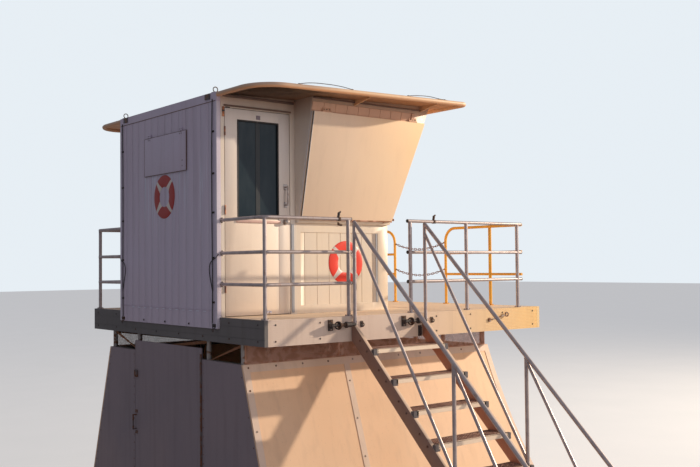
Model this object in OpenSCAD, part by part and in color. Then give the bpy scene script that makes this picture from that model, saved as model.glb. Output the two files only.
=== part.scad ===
// Lifeguard tower: a moulded cabin with flared window walls on a deck,
// over a panelled base with sloping sides, reached by a steel stair.
// Millimetres, +Z up, +X towards the sea, -Y the stair side ("near"), +Y "far".
// The origin lies on the ground under the middle of the base's cross sill.

/* [Deck] */
// Height of the deck's top above the ground
deck_top = 2625; // [2400:5:2800]
// Length of the deck, from its back edge to its sea edge
deck_len = 3760; // [3700:10:4000]
// Width of the deck
deck_wid = 3700; // [3640:10:3900]
// Depth of the fascia boards
fascia_h = 240; // [200:5:260]
// Thickness of the fascia boards
fascia_t = 38; // [30:1:45]
// Thickness of the floor plate
floor_t = 25; // [18:1:30]
// Width of a deck beam
beam_w = 80; // [60:5:100]
// Depth of a joist
joist_h = 140; // [100:5:160]
// Thickness of a joist
joist_t = 40; // [30:1:50]

/* [Base] */
// Length of the base on the ground
base_len = 3845; // [3780:5:3900]
// Width of the base on the ground
base_wid = 4290; // [4200:10:4400]
// Width of the base at the top of its panels
base_top_wid = 2880; // [2800:10:3000]
// Distance of the base's back in from the deck's back edge
base_back_in = 20; // [10:5:40]
// Drop from the deck's top to the top of the panels
panel_drop = 430; // [400:5:460]
// Lean of the front panel at its top, in degrees
front_lean_top = 3; // [1:0.5:5]
// Lean of the front panel below its curve, in degrees
front_lean_low = 18; // [15:0.5:20]
// Height above the ground at which the front panel's curve ends
front_knee_z = 955; // [900:5:1000]
// Thickness of a base panel
panel_t = 18; // [15:1:22]
// Side of the base frame's square tube
tube_w = 50; // [40:1:55]
// Height of the ground sill
sill_h = 60; // [50:5:80]
// Radius of the short posts between base and deck
stub_r = 25; // [20:1:25]
// Width of the base's cover strips
trim_w = 70; // [50:5:90]
// Thickness of the base's cover strips
trim_t = 5; // [3:1:8]
// Place of the side panels' joint, from the base's back
panel_joint_x = 1220; // [1100:10:1400]

/* [Base door] */
// Width of the base door's leaf
base_door_w = 1476; // [1300:2:1500]
// Place of the base door's hinge edge, from the middle of the tower
base_door_y = -683; // [-700:1:-640]
// Drop from the deck's top to the top of the base door
base_door_drop = 320; // [300:5:340]
// Thickness of the base door's leaf
base_door_t = 12; // [8:1:13]
// Clearance under the base door's leaf
base_door_lift = 30; // [20:5:60]

/* [Cabin] */
// Width of the cabin
cab_wid = 2140; // [2100:10:2200]
// Length of the cabin's lower walls
cab_len = 2170; // [2100:10:2300]
// Thickness of the cabin's walls
wall_t = 45; // [40:1:50]
// How far the cabin's back face stands proud of the deck's back edge
skirt_out = 25; // [15:1:30]
// How far the cabin's back wall hangs below the deck's top
skirt_h = 110; // [80:5:140]
// Height of the lower walls
low_wall_h = 930; // [880:10:960]
// Length of wall from the cabin's back face to the flare
rear_len = 925; // [920:5:980]
// How far the side flare stands out at its foot
flare_foot = 35; // [30:1:60]
// How far the side flare stands out at its head
flare_head = 296; // [200:2:320]
// How far the front flare stands out at its foot
flare_front_foot = 5; // [5:1:40]
// How far the front flare stands out at its head
flare_front_head = 325; // [200:5:360]
// Height above the deck where the flare's head is measured
flare_h = 2120; // [2100:5:2150]
// Height above the deck of the bottom of the window openings
window_z0 = 1040; // [1020:5:1100]
// Drop from the roof's lower end to the top of the window openings
window_drop = 226; // [200:2:260]
// Thickness of a shutter
shutter_t = 30; // [20:1:40]
// Height above the deck of a shutter's bottom edge
shutter_z0 = 970; // [960:5:990]
// Drop from the roof's lower end to a shutter's top edge
shutter_drop = 136; // [120:2:160]

/* [Roof] */
// Length of the roof
roof_len = 2735; // [2680:5:2800]
// Width of the roof
roof_wid = 3640; // [3500:10:3700]
// Height of the roof's top at its back, above the deck
roof_back_h = 2186; // [2170:1:2200]
// Height of the roof's top at its front, above the deck
roof_front_h = 2250; // [2240:1:2280]
// How far the roof's rim stands out behind the cabin's back face
roof_back_out = 5; // [0:1:10]
// Thickness of the roof plate
roof_t = 14; // [10:1:20]
// Radius of the rolled rim
roof_bead_r = 24; // [20:1:26]
// Corner radius at the roof's back
roof_back_r = 330; // [250:10:400]
// Corner radius at the roof's front
roof_front_r = 110; // [80:10:160]

/* [Cabin door] */
// Width of the door leaf
door_w = 762; // [740:1:770]
// Drop from the roof's lower end to the top of the door leaf
door_drop = 149; // [140:1:190]
// Thickness of the door leaf
door_t = 38; // [30:1:42]
// Clearance around the door leaf
door_gap = 7; // [6:1:9]
// Place of the doorway's hinge side, from the cabin's back face
doorway_x = 86; // [80:1:100]
// Width of the door's window
door_glass_w = 480; // [400:10:520]
// Height above the deck of the bottom of the door's window
door_glass_z0 = 965; // [950:5:1000]
// Drop from the top of the door leaf to the top of its window
door_glass_drop = 107; // [95:1:180]
// Thickness of the glass
glass_t = 6; // [4:1:10]

/* [Railings] */
// Height of the top rail's centre above the deck
rail_top_h = 938; // [900:1:1100]
// Height of the middle rail's centre above the deck
rail_mid_h = 619; // [600:1:640]
// Height of the low rail's centre above the deck
rail_low_h = 319; // [300:1:340]
// Radius of a railing post
post_r = 19; // [17:0.5:22]
// Radius of a railing's rail
rail_r = 17; // [15:0.5:18]
// Distance of the railing's centre line in from the deck's edge
rail_in = 40; // [35:1:60]
// Radius of the railing's corner bend
rail_bend_r = 70; // [50:5:120]
// Distance of the front railing's centre line in from the deck's edge
front_rail_in = 140; // [100:5:200]
// Width of the gap in the front railing
front_gap = 960; // [800:10:1000]
// Radius of the front railing's bends
front_bend_r = 160; // [140:5:220]

/* [Stair] */
// Number of rises from the ground to the deck
rises = 10; // [9:1:11]
// How far the treads lie below even rises from the deck
tread_sink = 40; // [0:5:60]
// Depth from one nosing to the next
tread_run = 272; // [260:2:290]
// Depth of a tread
tread_d = 250; // [220:5:260]
// Thickness of a tread
tread_t = 35; // [30:1:45]
// Clear width between the stringers
stair_wid = 890; // [800:10:900]
// Thickness of a stringer
stringer_t = 40; // [30:1:45]
// Vertical depth of a stringer
stringer_v = 186; // [170:2:220]
// Place of the stair's middle, from the deck's back edge
stair_x = 1485; // [1480:5:1500]
// Radius of a stair rail
stair_rail_r = 19; // [17:0.5:21]

/* [Chains] */
// Number of links in a chain
chain_links = 23; // [19:2:27]
// Slope of a chain's end link
chain_slope = 18; // [10:1:24]
// Radius of the chain's wire
chain_wire_r = 3.5; // [3:0.5:4]

/* [Hidden] */
$fn = 32;

// Clearance between two pieces that seat on each other
seat = 0.3;
// Overrun of a cut past the piece it cuts
over = 40;
// A length beyond any of the tower's
far_off = 9000;

deck_x0 = -base_len / 2 - base_back_in;
deck_x1 = deck_x0 + deck_len;
deck_y = deck_wid / 2;
beam_z0 = deck_top - fascia_h;
beam_z1 = deck_top - floor_t;

base_x0 = -base_len / 2;
base_z1 = deck_top - panel_drop;
// The front panel's curve is an arc cut off by the straight part below it, which meets it at a slight angle
front_kink = 1;
// Sides of the large cylinder in the drawn mesh, many because its radius is several metres
front_facets = 720;
front_r = (base_z1 - front_knee_z) / (cos(front_kink) * sin(front_lean_low) - sin(front_lean_top));
front_chord = front_r * cos(front_kink);
front_axis_x = base_x0 + base_len - front_knee_z * tan(front_lean_low) + front_chord * cos(front_lean_low);
front_axis_z = front_knee_z + front_chord * sin(front_lean_low);
beam_out_y = base_top_wid / 2 - panel_t - seat - tube_w / 2;
beam_in_y = 760;
base_side_slope = (base_wid - base_top_wid) / 2 / base_z1;

cab_x0 = deck_x0 - skirt_out;
cab_x1 = cab_x0 + cab_len;
cab_y = cab_wid / 2;
flare_x0 = cab_x0 + rear_len;
flare_z0 = deck_top + low_wall_h;
flare_side_slope = (flare_head - flare_foot) / (flare_h - low_wall_h);
flare_front_slope = (flare_front_head - flare_front_foot) / (flare_h - low_wall_h);
ledge_t = 25;
rail_back_in = 27;

roof_x0 = cab_x0 - roof_back_out;
roof_tilt = asin((roof_front_h - roof_back_h) / roof_len);
roof_y = roof_wid / 2;
roof_low_h = min(roof_back_h, roof_front_h);
roof_high_h = max(roof_back_h, roof_front_h);
window_z1 = roof_low_h - window_drop;
shutter_z1 = roof_low_h - shutter_drop;

doorway_x0 = cab_x0 + doorway_x;
doorway_x1 = doorway_x0 + door_w + 2 * door_gap;
door_x0 = doorway_x0 + door_gap;
door_x1 = door_x0 + door_w;
door_z0 = deck_top + door_gap;
door_z1 = deck_top + roof_low_h - door_drop;
door_h = door_z1 - door_z0;
door_glass_z1 = door_h + door_gap - door_glass_drop;
doorway_z1 = door_z1 + door_gap;
hinge_r = 7;
hinge_len = 90;
hinge_leaf_w = 30;
hinge_leaf_t = 2.5;
hinge_shares = [0.138, 0.512, 0.892];
hinge_zs = [for (share = hinge_shares) share * door_h];
door_hinge_x = doorway_x0 + door_gap / 2;
door_hinge_y = -cab_y - hinge_r - seat;

rise = (deck_top - tread_sink) / rises;
stair_slope = rise / tread_run;
// Drop from the deck's top to the stringer's top edge, at the deck's edge
stringer_drop = 45;
stringer_in = stair_wid / 2;
stair_mid_x = deck_x0 + stair_x;

rail_x0 = deck_x0 + rail_back_in;
rail_y = deck_y - rail_in;

// Half width of the base's outer faces at height z
function base_half(z) = base_wid / 2 - base_side_slope * z;
// Front of the base's outer face at height z, less an inset square to it: the straight part
function front_line(z, inset) = base_x0 + base_len - inset / cos(front_lean_low) - z * tan(front_lean_low);
// Front of the base's outer face at height z: the arc, above the straight part
function front_arc(z) = front_axis_x - sqrt(front_r * front_r - (front_axis_z - z) * (front_axis_z - z));
front_top_x = front_arc(base_z1);
base_top_len = front_top_x - base_x0;
// Half width of the flare's outer faces at height z
function flare_half(z) = cab_y + flare_foot + flare_side_slope * (z - flare_z0);
// Front of the flare's outer face at height z
function flare_front_x(z) = cab_x1 + flare_front_foot + flare_front_slope * (z - flare_z0);
// Height of the roof's top at place x
function roof_z(x) = deck_top + roof_back_h + (x - roof_x0) * tan(roof_tilt);
// Height of the roof plate's underside at place x
function under_roof(x) = roof_z(x) - roof_t / cos(roof_tilt);

// An outline in Y and Z carried along X
module along_x(x0, x1, points) {
  translate([x0, 0, 0]) rotate([90, 0, 90]) linear_extrude(height = x1 - x0) polygon(points);
}

// An outline in X and Z carried along Y
module along_y(y0, y1, points) {
  translate([0, y1, 0]) rotate([90, 0, 0]) linear_extrude(height = y1 - y0) polygon(points);
}

// A box between two corners
module slab(a, b) {
  translate(a) cube(b - a);
}

// A round bar between two points
module bar(a, b, r) {
  d = b - a;
  translate(a) rotate([0, acos(d[2] / norm(d)), atan2(d[1], d[0])]) cylinder(h = norm(d), r = r);
}

// The piece and its mirror image on the far side
module both_sides() {
  children();
  mirror([0, 1, 0]) children();
}

// A band of the near side's slope, t thick, with its outer face out from the panels' outer face
module side_band(x0, x1, z0, z1, out, t) {
  along_x(x0, x1, [
    [-base_half(z0) - out, z0], [-base_half(z1) - out, z1],
    [-base_half(z1) - out + t, z1], [-base_half(z0) - out + t, z0]
  ]);
}

// Everything behind the base front's outer face, less an inset
module behind_front(inset) {
  z = front_knee_z - inset * sin(front_lean_low);
  difference() {
    slab([-far_off, -far_off, -over], [front_axis_x, far_off, base_z1 + over]);
    translate([front_axis_x, far_off + over, front_axis_z]) rotate([90, 0, 0])
      cylinder(h = 2 * far_off + 2 * over, r = front_r + inset, $fn = front_facets);
    along_y(-far_off - over, far_off + over, [
      [front_line(-2 * over, inset), -2 * over], [front_line(z, inset), z],
      [front_axis_x, front_axis_z], [front_axis_x + over, -2 * over]
    ]);
  }
}

// A band of the front's curve, t thick, with its outer face out from the panel's outer face
module front_band(y0, y1, z0, z1, out, t) {
  difference() {
    intersection() {
      slab([0, y0, z0], [far_off, y1, z1]);
      behind_front(-out);
    }
    behind_front(t - out);
  }
}

// Everything between the base sides' outer faces, less an inset
module between_sides(inset, z1) {
  along_x(-far_off, far_off, [
    [-base_half(0) + inset, 0], [base_half(0) - inset, 0],
    [base_half(z1) - inset, z1], [-base_half(z1) + inset, z1]
  ]);
}

// Ground frame: two side sills and three cross sills
cross_sill_w = 60;
module base_sill() {
  in = panel_t + seat;
  color("#8a8378") {
    both_sides() intersection() {
      side_band(base_x0 + in, far_off, 0, sill_h, -in, tube_w);
      behind_front(in);
    }
    for (x = [base_x0 + in, -cross_sill_w / 2])
      intersection() {
        slab([x, -far_off, 0], [x + cross_sill_w, far_off, sill_h]);
        between_sides(in, sill_h);
      }
    intersection() {
      front_band(-far_off, far_off, 0, sill_h, -in, tube_w);
      between_sides(in, sill_h);
    }
  }
}

// Top ring of the base frame, which carries the short posts
module base_top_ring() {
  in = panel_t + seat;
  z0 = base_z1 - tube_w;
  color("#8a8378") {
    both_sides() intersection() {
      side_band(base_x0 + in, far_off, z0, base_z1, -in, tube_w);
      behind_front(in);
    }
    intersection() {
      slab([base_x0 + in, -far_off, z0], [base_x0 + in + tube_w, far_off, base_z1]);
      between_sides(in, base_z1);
    }
    intersection() {
      front_band(-far_off, far_off, z0, base_z1, -in, tube_w);
      between_sides(in, base_z1);
    }
  }
}

// Places of the side studs and short posts along the base's top
stud_shares = [0, 0.36, 0.68, 1];
stud_run = base_top_len - 2 * panel_t - 2 * seat - tube_w;
function stud_x(share) = base_x0 + panel_t + seat + share * stud_run;

// Sloping side studs, door studs and front studs
module base_studs() {
  in = panel_t + seat;
  z0 = sill_h + seat;
  z1 = base_z1 - tube_w - seat;
  color("#8a8378") {
    both_sides() for (share = stud_shares)
      side_band(stud_x(share), stud_x(share) + tube_w, z0, z1, -in, tube_w);
    for (y = [base_door_y - tube_w - door_gap, base_door_y + base_door_w + door_gap])
      slab([base_x0 + in, y, z0], [base_x0 + in + tube_w, y + tube_w, z1]);
    both_sides() front_band(beam_in_y - tube_w / 2, beam_in_y + tube_w / 2, z0, z1, -in, tube_w);
  }
}

// Short round posts between the base frame's top ring and the deck beams
module base_stubs() {
  z0 = base_z1 + seat;
  z1 = beam_z0 - seat;
  back_x = base_x0 + panel_t + seat + tube_w / 2;
  front_x = front_top_x - panel_t - seat - tube_w / 2;
  color("#b0aca4") {
    for (share = stud_shares) both_sides()
      translate([stud_x(share) + tube_w / 2, beam_out_y, z0]) cylinder(h = z1 - z0, r = stub_r);
    for (x = [back_x, front_x]) both_sides()
      translate([x, beam_in_y, z0]) cylinder(h = z1 - z0, r = stub_r);
  }
}

// Rusty flat braces between the short posts
brace_w = 30;
brace_t = 6;
module base_braces() {
  z0 = base_z1 + seat;
  z1 = beam_z0 - seat;
  back_x = base_x0 + panel_t + seat + tube_w / 2;
  y0 = beam_in_y - stub_r - seat;
  y1 = beam_out_y - stub_r - seat;
  y2 = beam_in_y + stub_r + seat;
  x0 = stud_x(stud_shares[0]) + tube_w / 2 + stub_r + seat;
  x1 = stud_x(stud_shares[1]) + tube_w / 2 - stub_r - seat;
  color("#7c4a2c") {
    both_sides() along_x(back_x - brace_t / 2, back_x + brace_t / 2,
      [[y2, z0], [y2 + brace_w, z0], [y1, z1 - brace_w], [y1, z1]]);
    along_x(back_x - brace_t / 2, back_x + brace_t / 2,
      [[-y0, z1 - brace_w], [y0, z0], [y0, z0 + brace_w], [-y0, z1]]);
    both_sides() along_y(beam_out_y - brace_t / 2, beam_out_y + brace_t / 2,
      [[x0, z1 - brace_w], [x1, z0], [x1, z0 + brace_w], [x0, z1]]);
  }
}

// Sloping side panels, each of two sheets that meet at the joint
module base_panels_side() {
  color("#d8b990") both_sides() intersection() {
    union() for (span = [[base_x0, base_x0 + panel_joint_x - seat], [base_x0 + panel_joint_x, far_off]])
      side_band(span[0], span[1], 0, base_z1, 0, panel_t);
    behind_front(panel_t + seat);
  }
}

// Sloping front panel
module base_panel_front() {
  color("#d8b990") intersection() {
    front_band(-far_off, far_off, 0, base_z1, 0, panel_t);
    between_sides(0, base_z1);
  }
}

// Fixed back panels beside the base door
module base_panels_back() {
  near = base_door_y - door_gap;
  far = base_door_y + base_door_w + door_gap;
  color("#cdbfb0") intersection() {
    union() {
      slab([base_x0, -far_off, 0], [base_x0 + panel_t, near, base_z1]);
      slab([base_x0, far, 0], [base_x0 + panel_t, far_off, base_z1]);
    }
    between_sides(panel_t + seat, base_z1);
  }
}

// Cover strips of the side panels: a top band, a back strip, a joint strip and a front strip
trim_lift = 20;
module base_trim() {
  out = trim_t + seat;
  joint_x = base_x0 + panel_joint_x;
  z0 = trim_lift - over;
  z1 = base_z1 - trim_w;
  color("#e9dcc2") both_sides() difference() {
    intersection() {
      side_band(base_x0, far_off, trim_lift, base_z1, out, trim_t);
      behind_front(0);
    }
    slab([base_x0 + trim_w, -far_off, z0], [joint_x - trim_w / 2, 0, z1]);
    intersection() {
      slab([joint_x + trim_w / 2, -far_off, z0], [far_off, 0, z1]);
      behind_front(trim_w);
    }
  }
}

// Wide leaf in the base's back, hinged at its near edge
module base_door() {
  color("#cdbfb0")
    slab([base_x0, base_door_y, base_door_lift],
         [base_x0 + base_door_t, base_door_y + base_door_w, deck_top - base_door_drop]);
}

// Handle, latch and long hinge of the base door
base_handle_drop = 1305;
base_handle_len = 170;
base_handle_out = 42;
base_handle_r = 8;
base_handle_leg_r = 7;
base_handle_in = 30;
base_latch_drop = 725;
base_latch_w = 60;
base_latch_h = 75;
base_latch_t = 18;
base_latch_in = 4;
base_hinge_r = 6;
base_hinge_leaf_w = 36;
base_hinge_leaf_t = 3;
base_hinge_margin = 60;
module base_door_fittings() {
  y_free = base_door_y + base_door_w;
  y = y_free - base_handle_in;
  x = base_x0 - base_handle_out;
  z0 = deck_top - base_handle_drop;
  latch_z = deck_top - base_latch_drop;
  hinge_y = base_door_y - door_gap / 2;
  hinge_z0 = base_door_lift + base_hinge_margin;
  hinge_z1 = deck_top - base_door_drop - base_hinge_margin;
  color("#6e5648") {
    translate([x, y, z0]) cylinder(h = base_handle_len, r = base_handle_r);
    for (z = [z0 + base_handle_r, z0 + base_handle_len - base_handle_r])
      bar([x, y, z], [base_x0 - seat, y, z], base_handle_leg_r);
    slab([base_x0 - base_latch_t - seat, y_free - base_latch_w - base_latch_in, latch_z],
         [base_x0 - seat, y_free - base_latch_in, latch_z + base_latch_h]);
    translate([base_x0 - base_hinge_r - seat, hinge_y, hinge_z0])
      cylinder(h = hinge_z1 - hinge_z0, r = base_hinge_r);
    slab([base_x0 - base_hinge_leaf_t - seat, hinge_y, hinge_z0],
         [base_x0 - seat, hinge_y + base_hinge_leaf_w, hinge_z1]);
  }
}

// Four long beams under the deck
module deck_beams() {
  in = fascia_t + seat;
  color("#7d7a76") both_sides() for (y = [beam_out_y, beam_in_y])
    slab([deck_x0 + in, y - beam_w / 2, beam_z0], [deck_x1 - in, y + beam_w / 2, beam_z1]);
}

// Short joists between the beams and out to the side fascias
joist_shares = [0, 0.25, 0.5, 0.75, 1];
module deck_joists() {
  x_low = deck_x0 + fascia_t + seat;
  x_run = deck_len - 2 * fascia_t - 2 * seat - joist_t;
  half = beam_w / 2 + seat;
  z0 = beam_z1 - joist_h;
  color("#8c7f6d") for (share = joist_shares) {
    x = x_low + share * x_run;
    slab([x, -beam_in_y + half, z0], [x + joist_t, beam_in_y - half, beam_z1 - seat]);
    both_sides() {
      slab([x, beam_in_y + half, z0], [x + joist_t, beam_out_y - half, beam_z1 - seat]);
      slab([x, beam_out_y + half, z0], [x + joist_t, deck_y - fascia_t - seat, beam_z1 - seat]);
    }
  }
}

// Floor plate of the deck and cabin
module deck_floor() {
  in = fascia_t + seat;
  color("#b9ad9c")
    slab([deck_x0 + in, -deck_y + in, beam_z1 + seat], [deck_x1 - in, deck_y - in, deck_top]);
}

// Back and front fascia boards
module fascia_ends() {
  color("#6a655f") for (x = [deck_x0, deck_x1 - fascia_t])
    slab([x, -deck_y, beam_z0], [x + fascia_t, deck_y, deck_top]);
}

// Near and far fascia boards
module fascia_sides() {
  in = fascia_t + seat;
  color("#e6d3ab") both_sides()
    slab([deck_x0 + in, -deck_y, beam_z0], [deck_x1 - in, -deck_y + fascia_t, deck_top]);
}

// Everything of the cabin that lies under the roof plate
module below_roof() {
  along_y(-far_off, far_off, [
    [-far_off, 0], [far_off, 0],
    [far_off, under_roof(far_off) - seat], [-far_off, under_roof(-far_off) - seat]
  ]);
}

// Places its children in the roof's own tilted frame, whose zero is the rolled edge's middle
module on_roof() {
  translate([roof_x0, 0, deck_top + roof_back_h])
    rotate([0, -roof_tilt, 0]) translate([0, 0, -roof_bead_r]) children();
}

// Back wall, which hangs over the deck's back edge and rises to the roof's top
module wall_back() {
  color("#d9d2d0") difference() {
    along_y(-cab_y, cab_y, [
      [cab_x0, deck_top - skirt_h], [cab_x0 + wall_t, deck_top - skirt_h],
      [cab_x0 + wall_t, roof_z(cab_x0 + wall_t)], [cab_x0, roof_z(cab_x0)]
    ]);
    slab([deck_x0 - seat, -far_off, 0], [far_off, far_off, deck_top + seat]);
  }
}

// The two posts of wall beside the doorway
module door_jambs() {
  color("#e9dfd2") {
    slab([cab_x0 + wall_t + seat, -cab_y, deck_top + seat],
         [doorway_x0, -cab_y + wall_t, doorway_z1 - seat]);
    slab([doorway_x1, -cab_y, deck_top + seat], [flare_x0 - seat, -cab_y + wall_t, doorway_z1 - seat]);
    for (z = hinge_zs)
      slab([doorway_x0 - hinge_leaf_t, -cab_y, deck_top + z - hinge_len / 2],
           [doorway_x0 + hinge_leaf_t, -cab_y + hinge_leaf_w, deck_top + z + hinge_len / 2]);
  }
}

// Wall over the doorway
module wall_over_door() {
  color("#e9dfd2") intersection() {
    slab([cab_x0 + wall_t + seat, -cab_y, doorway_z1], [flare_x0 - seat, -cab_y + wall_t, far_off]);
    below_roof();
  }
}

// Far wall behind the flare
module wall_far_rear() {
  color("#e9dfd2") intersection() {
    slab([cab_x0 + wall_t + seat, cab_y - wall_t, deck_top + seat], [flare_x0 - seat, cab_y, far_off]);
    below_roof();
  }
}

// Lower side walls, with a recessed panel of upright boards
recess_d = 8;
recess_in = 65;
recess_front_in = 140;
recess_z0 = 85;
recess_z1 = 835;
module walls_side_low() {
  color("#ead9c0") both_sides() difference() {
    slab([flare_x0, -cab_y, deck_top + seat], [cab_x1, -cab_y + wall_t, flare_z0 - seat]);
    slab([flare_x0 + recess_in, -cab_y - over, deck_top + recess_z0],
         [cab_x1 - recess_front_in, -cab_y + recess_d, deck_top + recess_z1]);
  }
}

// Lower front wall
module wall_front_low() {
  in = wall_t + seat;
  color("#ead9c0")
    slab([cab_x1 - wall_t, -cab_y + in, deck_top + seat], [cab_x1, cab_y - in, flare_z0 - seat]);
}

// Everything behind the flare front's outer face, less an inset
module behind_flare_front(inset) {
  z1 = deck_top + roof_high_h + over;
  along_y(-far_off, far_off, [
    [-far_off, flare_z0], [flare_front_x(flare_z0) - inset, flare_z0],
    [flare_front_x(z1) - inset, z1], [-far_off, z1]
  ]);
}

// The near flare: a ledge at its foot, a leaning window wall and an upright end
window_in = 120;
module flare_near() {
  z1 = deck_top + roof_high_h + over;
  inner = -cab_y + wall_t;
  color("#ead9c0") intersection() {
    union() {
      difference() {
        along_x(flare_x0, far_off, [
          [inner, flare_z0], [-flare_half(flare_z0), flare_z0], [-flare_half(z1), z1],
          [-flare_half(z1) + wall_t, z1],
          [-flare_half(flare_z0 + ledge_t) + wall_t, flare_z0 + ledge_t], [inner, flare_z0 + ledge_t]
        ]);
        slab([flare_x0 + window_in, -far_off, deck_top + window_z0],
             [flare_front_x(deck_top + window_z0) - window_in, 0, deck_top + window_z1]);
      }
      along_x(flare_x0, flare_x0 + wall_t, [
        [inner, flare_z0], [-flare_half(flare_z0), flare_z0], [-flare_half(z1), z1], [inner, z1]
      ]);
    }
    behind_flare_front(0);
    below_roof();
  }
}

// The far flare mirrors the near one
module flare_far() {
  mirror([0, 1, 0]) flare_near();
}

// The front flare: a ledge and a leaning window wall between the side flares
module flare_front() {
  z1 = deck_top + roof_high_h + over;
  in = wall_t + seat;
  inner = cab_x1 - wall_t;
  window_y = cab_y - window_in;
  color("#ead9c0") intersection() {
    difference() {
      along_y(-far_off, far_off, [
        [inner, flare_z0], [flare_front_x(flare_z0), flare_z0], [flare_front_x(z1), z1],
        [flare_front_x(z1) - wall_t, z1],
        [flare_front_x(flare_z0 + ledge_t) - wall_t, flare_z0 + ledge_t], [inner, flare_z0 + ledge_t]
      ]);
      slab([0, -window_y, deck_top + window_z0], [far_off, window_y, deck_top + window_z1]);
    }
    along_x(-far_off, far_off, [
      [-cab_y + wall_t + seat, flare_z0], [cab_y - wall_t - seat, flare_z0],
      [cab_y - wall_t - seat, flare_z0 + ledge_t + seat],
      [flare_half(flare_z0 + ledge_t + seat) - in, flare_z0 + ledge_t + seat], [flare_half(z1) - in, z1],
      [-flare_half(z1) + in, z1], [-flare_half(flare_z0 + ledge_t + seat) + in, flare_z0 + ledge_t + seat],
      [-cab_y + wall_t + seat, flare_z0 + ledge_t + seat]
    ]);
    below_roof();
  }
}

// The near shutter lies on the flare's leaning face
shutter_in = 12;
module shutter_near() {
  z0 = deck_top + shutter_z0;
  z1 = deck_top + shutter_z1;
  color("#f0dcb8") intersection() {
    along_x(flare_x0 + shutter_in, far_off, [
      [-flare_half(z0) - seat, z0], [-flare_half(z0) - shutter_t, z0],
      [-flare_half(z1) - shutter_t, z1], [-flare_half(z1) - seat, z1]
    ]);
    behind_flare_front(shutter_in);
  }
}

// The far shutter mirrors the near one
module shutter_far() {
  mirror([0, 1, 0]) shutter_near();
}

// The front shutter lies on the front flare
module shutter_front() {
  z0 = deck_top + shutter_z0;
  z1 = deck_top + shutter_z1;
  color("#f0dcb8") intersection() {
    along_y(-far_off, far_off, [
      [flare_front_x(z0) + seat, z0], [flare_front_x(z0) + shutter_t, z0],
      [flare_front_x(z1) + shutter_t, z1], [flare_front_x(z1) + seat, z1]
    ]);
    along_x(-far_off, far_off, [
      [-flare_half(z0) + shutter_in, z0], [flare_half(z0) - shutter_in, z0],
      [flare_half(z1) - shutter_in, z1], [-flare_half(z1) + shutter_in, z1]
    ]);
  }
}

// Hinge plates over the shutters' heads
hinge_plate_w = 110;
hinge_plate_t = 8;
hinge_plate_h = 45;
hinge_plate_shares = [0.12, 0.88];
module shutter_hinges() {
  z0 = deck_top + shutter_z1 + seat;
  z1 = z0 + hinge_plate_h;
  side_run = flare_front_x(z0) - flare_x0;
  front_run = 2 * flare_half(z0);
  color("#c9b08a") {
    both_sides() for (share = hinge_plate_shares) {
      x = flare_x0 + share * side_run;
      along_x(x - hinge_plate_w / 2, x + hinge_plate_w / 2, [
        [-flare_half(z0) - seat, z0], [-flare_half(z0) - seat - shutter_t, z0],
        [-flare_half(z1) - seat - hinge_plate_t, z1], [-flare_half(z1) - seat, z1]
      ]);
    }
    for (share = hinge_plate_shares) {
      y = (share - 0.5) * front_run;
      along_y(y - hinge_plate_w / 2, y + hinge_plate_w / 2, [
        [flare_front_x(z0) + seat, z0], [flare_front_x(z0) + seat + shutter_t, z0],
        [flare_front_x(z1) + seat + hinge_plate_t, z1], [flare_front_x(z1) + seat, z1]
      ]);
    }
  }
}

// Roof plate with rounded corners and a rolled rim hanging from its edge, tilted a little
// towards its back, where the rim stops at the back wall's two ends
module roof() {
  r = roof_bead_r;
  x1 = roof_len - r;
  y1 = roof_y - r;
  rb = roof_back_r - r;
  rf = roof_front_r - r;
  y_wall = cab_y + seat;
  color("#efe3cc") difference() {
    on_roof() {
      translate([0, 0, r - roof_t]) linear_extrude(height = roof_t) {
        translate([r, -y1 + rb]) square([roof_len - 2 * r, 2 * y1 - 2 * rb]);
        translate([r + rb, -y1]) square([x1 - rf - rb - r, 2 * y1]);
        translate([x1 - rf - over, -y1 + rf]) square([rf + over, 2 * y1 - 2 * rf]);
        for (s = [-1, 1]) {
          translate([r + rb, s * (y1 - rb)]) circle(r = rb);
          translate([x1 - rf, s * (y1 - rf)]) circle(r = rf);
        }
      }
      bar([r, -y1 + rb, 0], [r, y1 - rb, 0], r);
      bar([x1, -y1 + rf, 0], [x1, y1 - rf, 0], r);
      both_sides() {
        bar([r + rb, y1, 0], [x1 - rf, y1, 0], r);
        translate([r + rb, y1 - rb, 0]) rotate([0, 0, 90])
          rotate_extrude(angle = 90) translate([rb, 0]) circle(r = r);
        translate([x1 - rf, y1 - rf, 0]) rotate_extrude(angle = 90) translate([rf, 0]) circle(r = r);
      }
    }
    slab([cab_x0 - over, -y_wall, deck_top], [cab_x0 + wall_t + seat, y_wall, far_off]);
  }
}

// Tapered gussets under the roof's overhang
gusset_t = 12;
gusset_h = 60;
gusset_len = 260;
gusset_shares = [0.35, 0.95];
module roof_gussets() {
  color("#c58f57") both_sides() for (share = gusset_shares) {
    x = flare_x0 + share * (flare_front_x(deck_top + shutter_z1) - flare_x0 - gusset_t);
    z = under_roof(x);
    intersection() {
      along_x(x, x + gusset_t, [
        [-flare_half(z - gusset_h) - seat, z - gusset_h], [-flare_half(z + over) - seat, z + over],
        [-flare_half(z) - gusset_len, z + over], [-flare_half(z) - gusset_len, z - gusset_t]
      ]);
      below_roof();
    }
  }
}

// Band along the head of the cabin's back wall
band_h = 83;
band_t = 4;
module roof_band() {
  z1 = roof_z(cab_x0);
  color("#e3dbd2") slab([cab_x0 - band_t, -cab_y, z1 - band_h], [cab_x0 - seat, cab_y, z1]);
}

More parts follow.
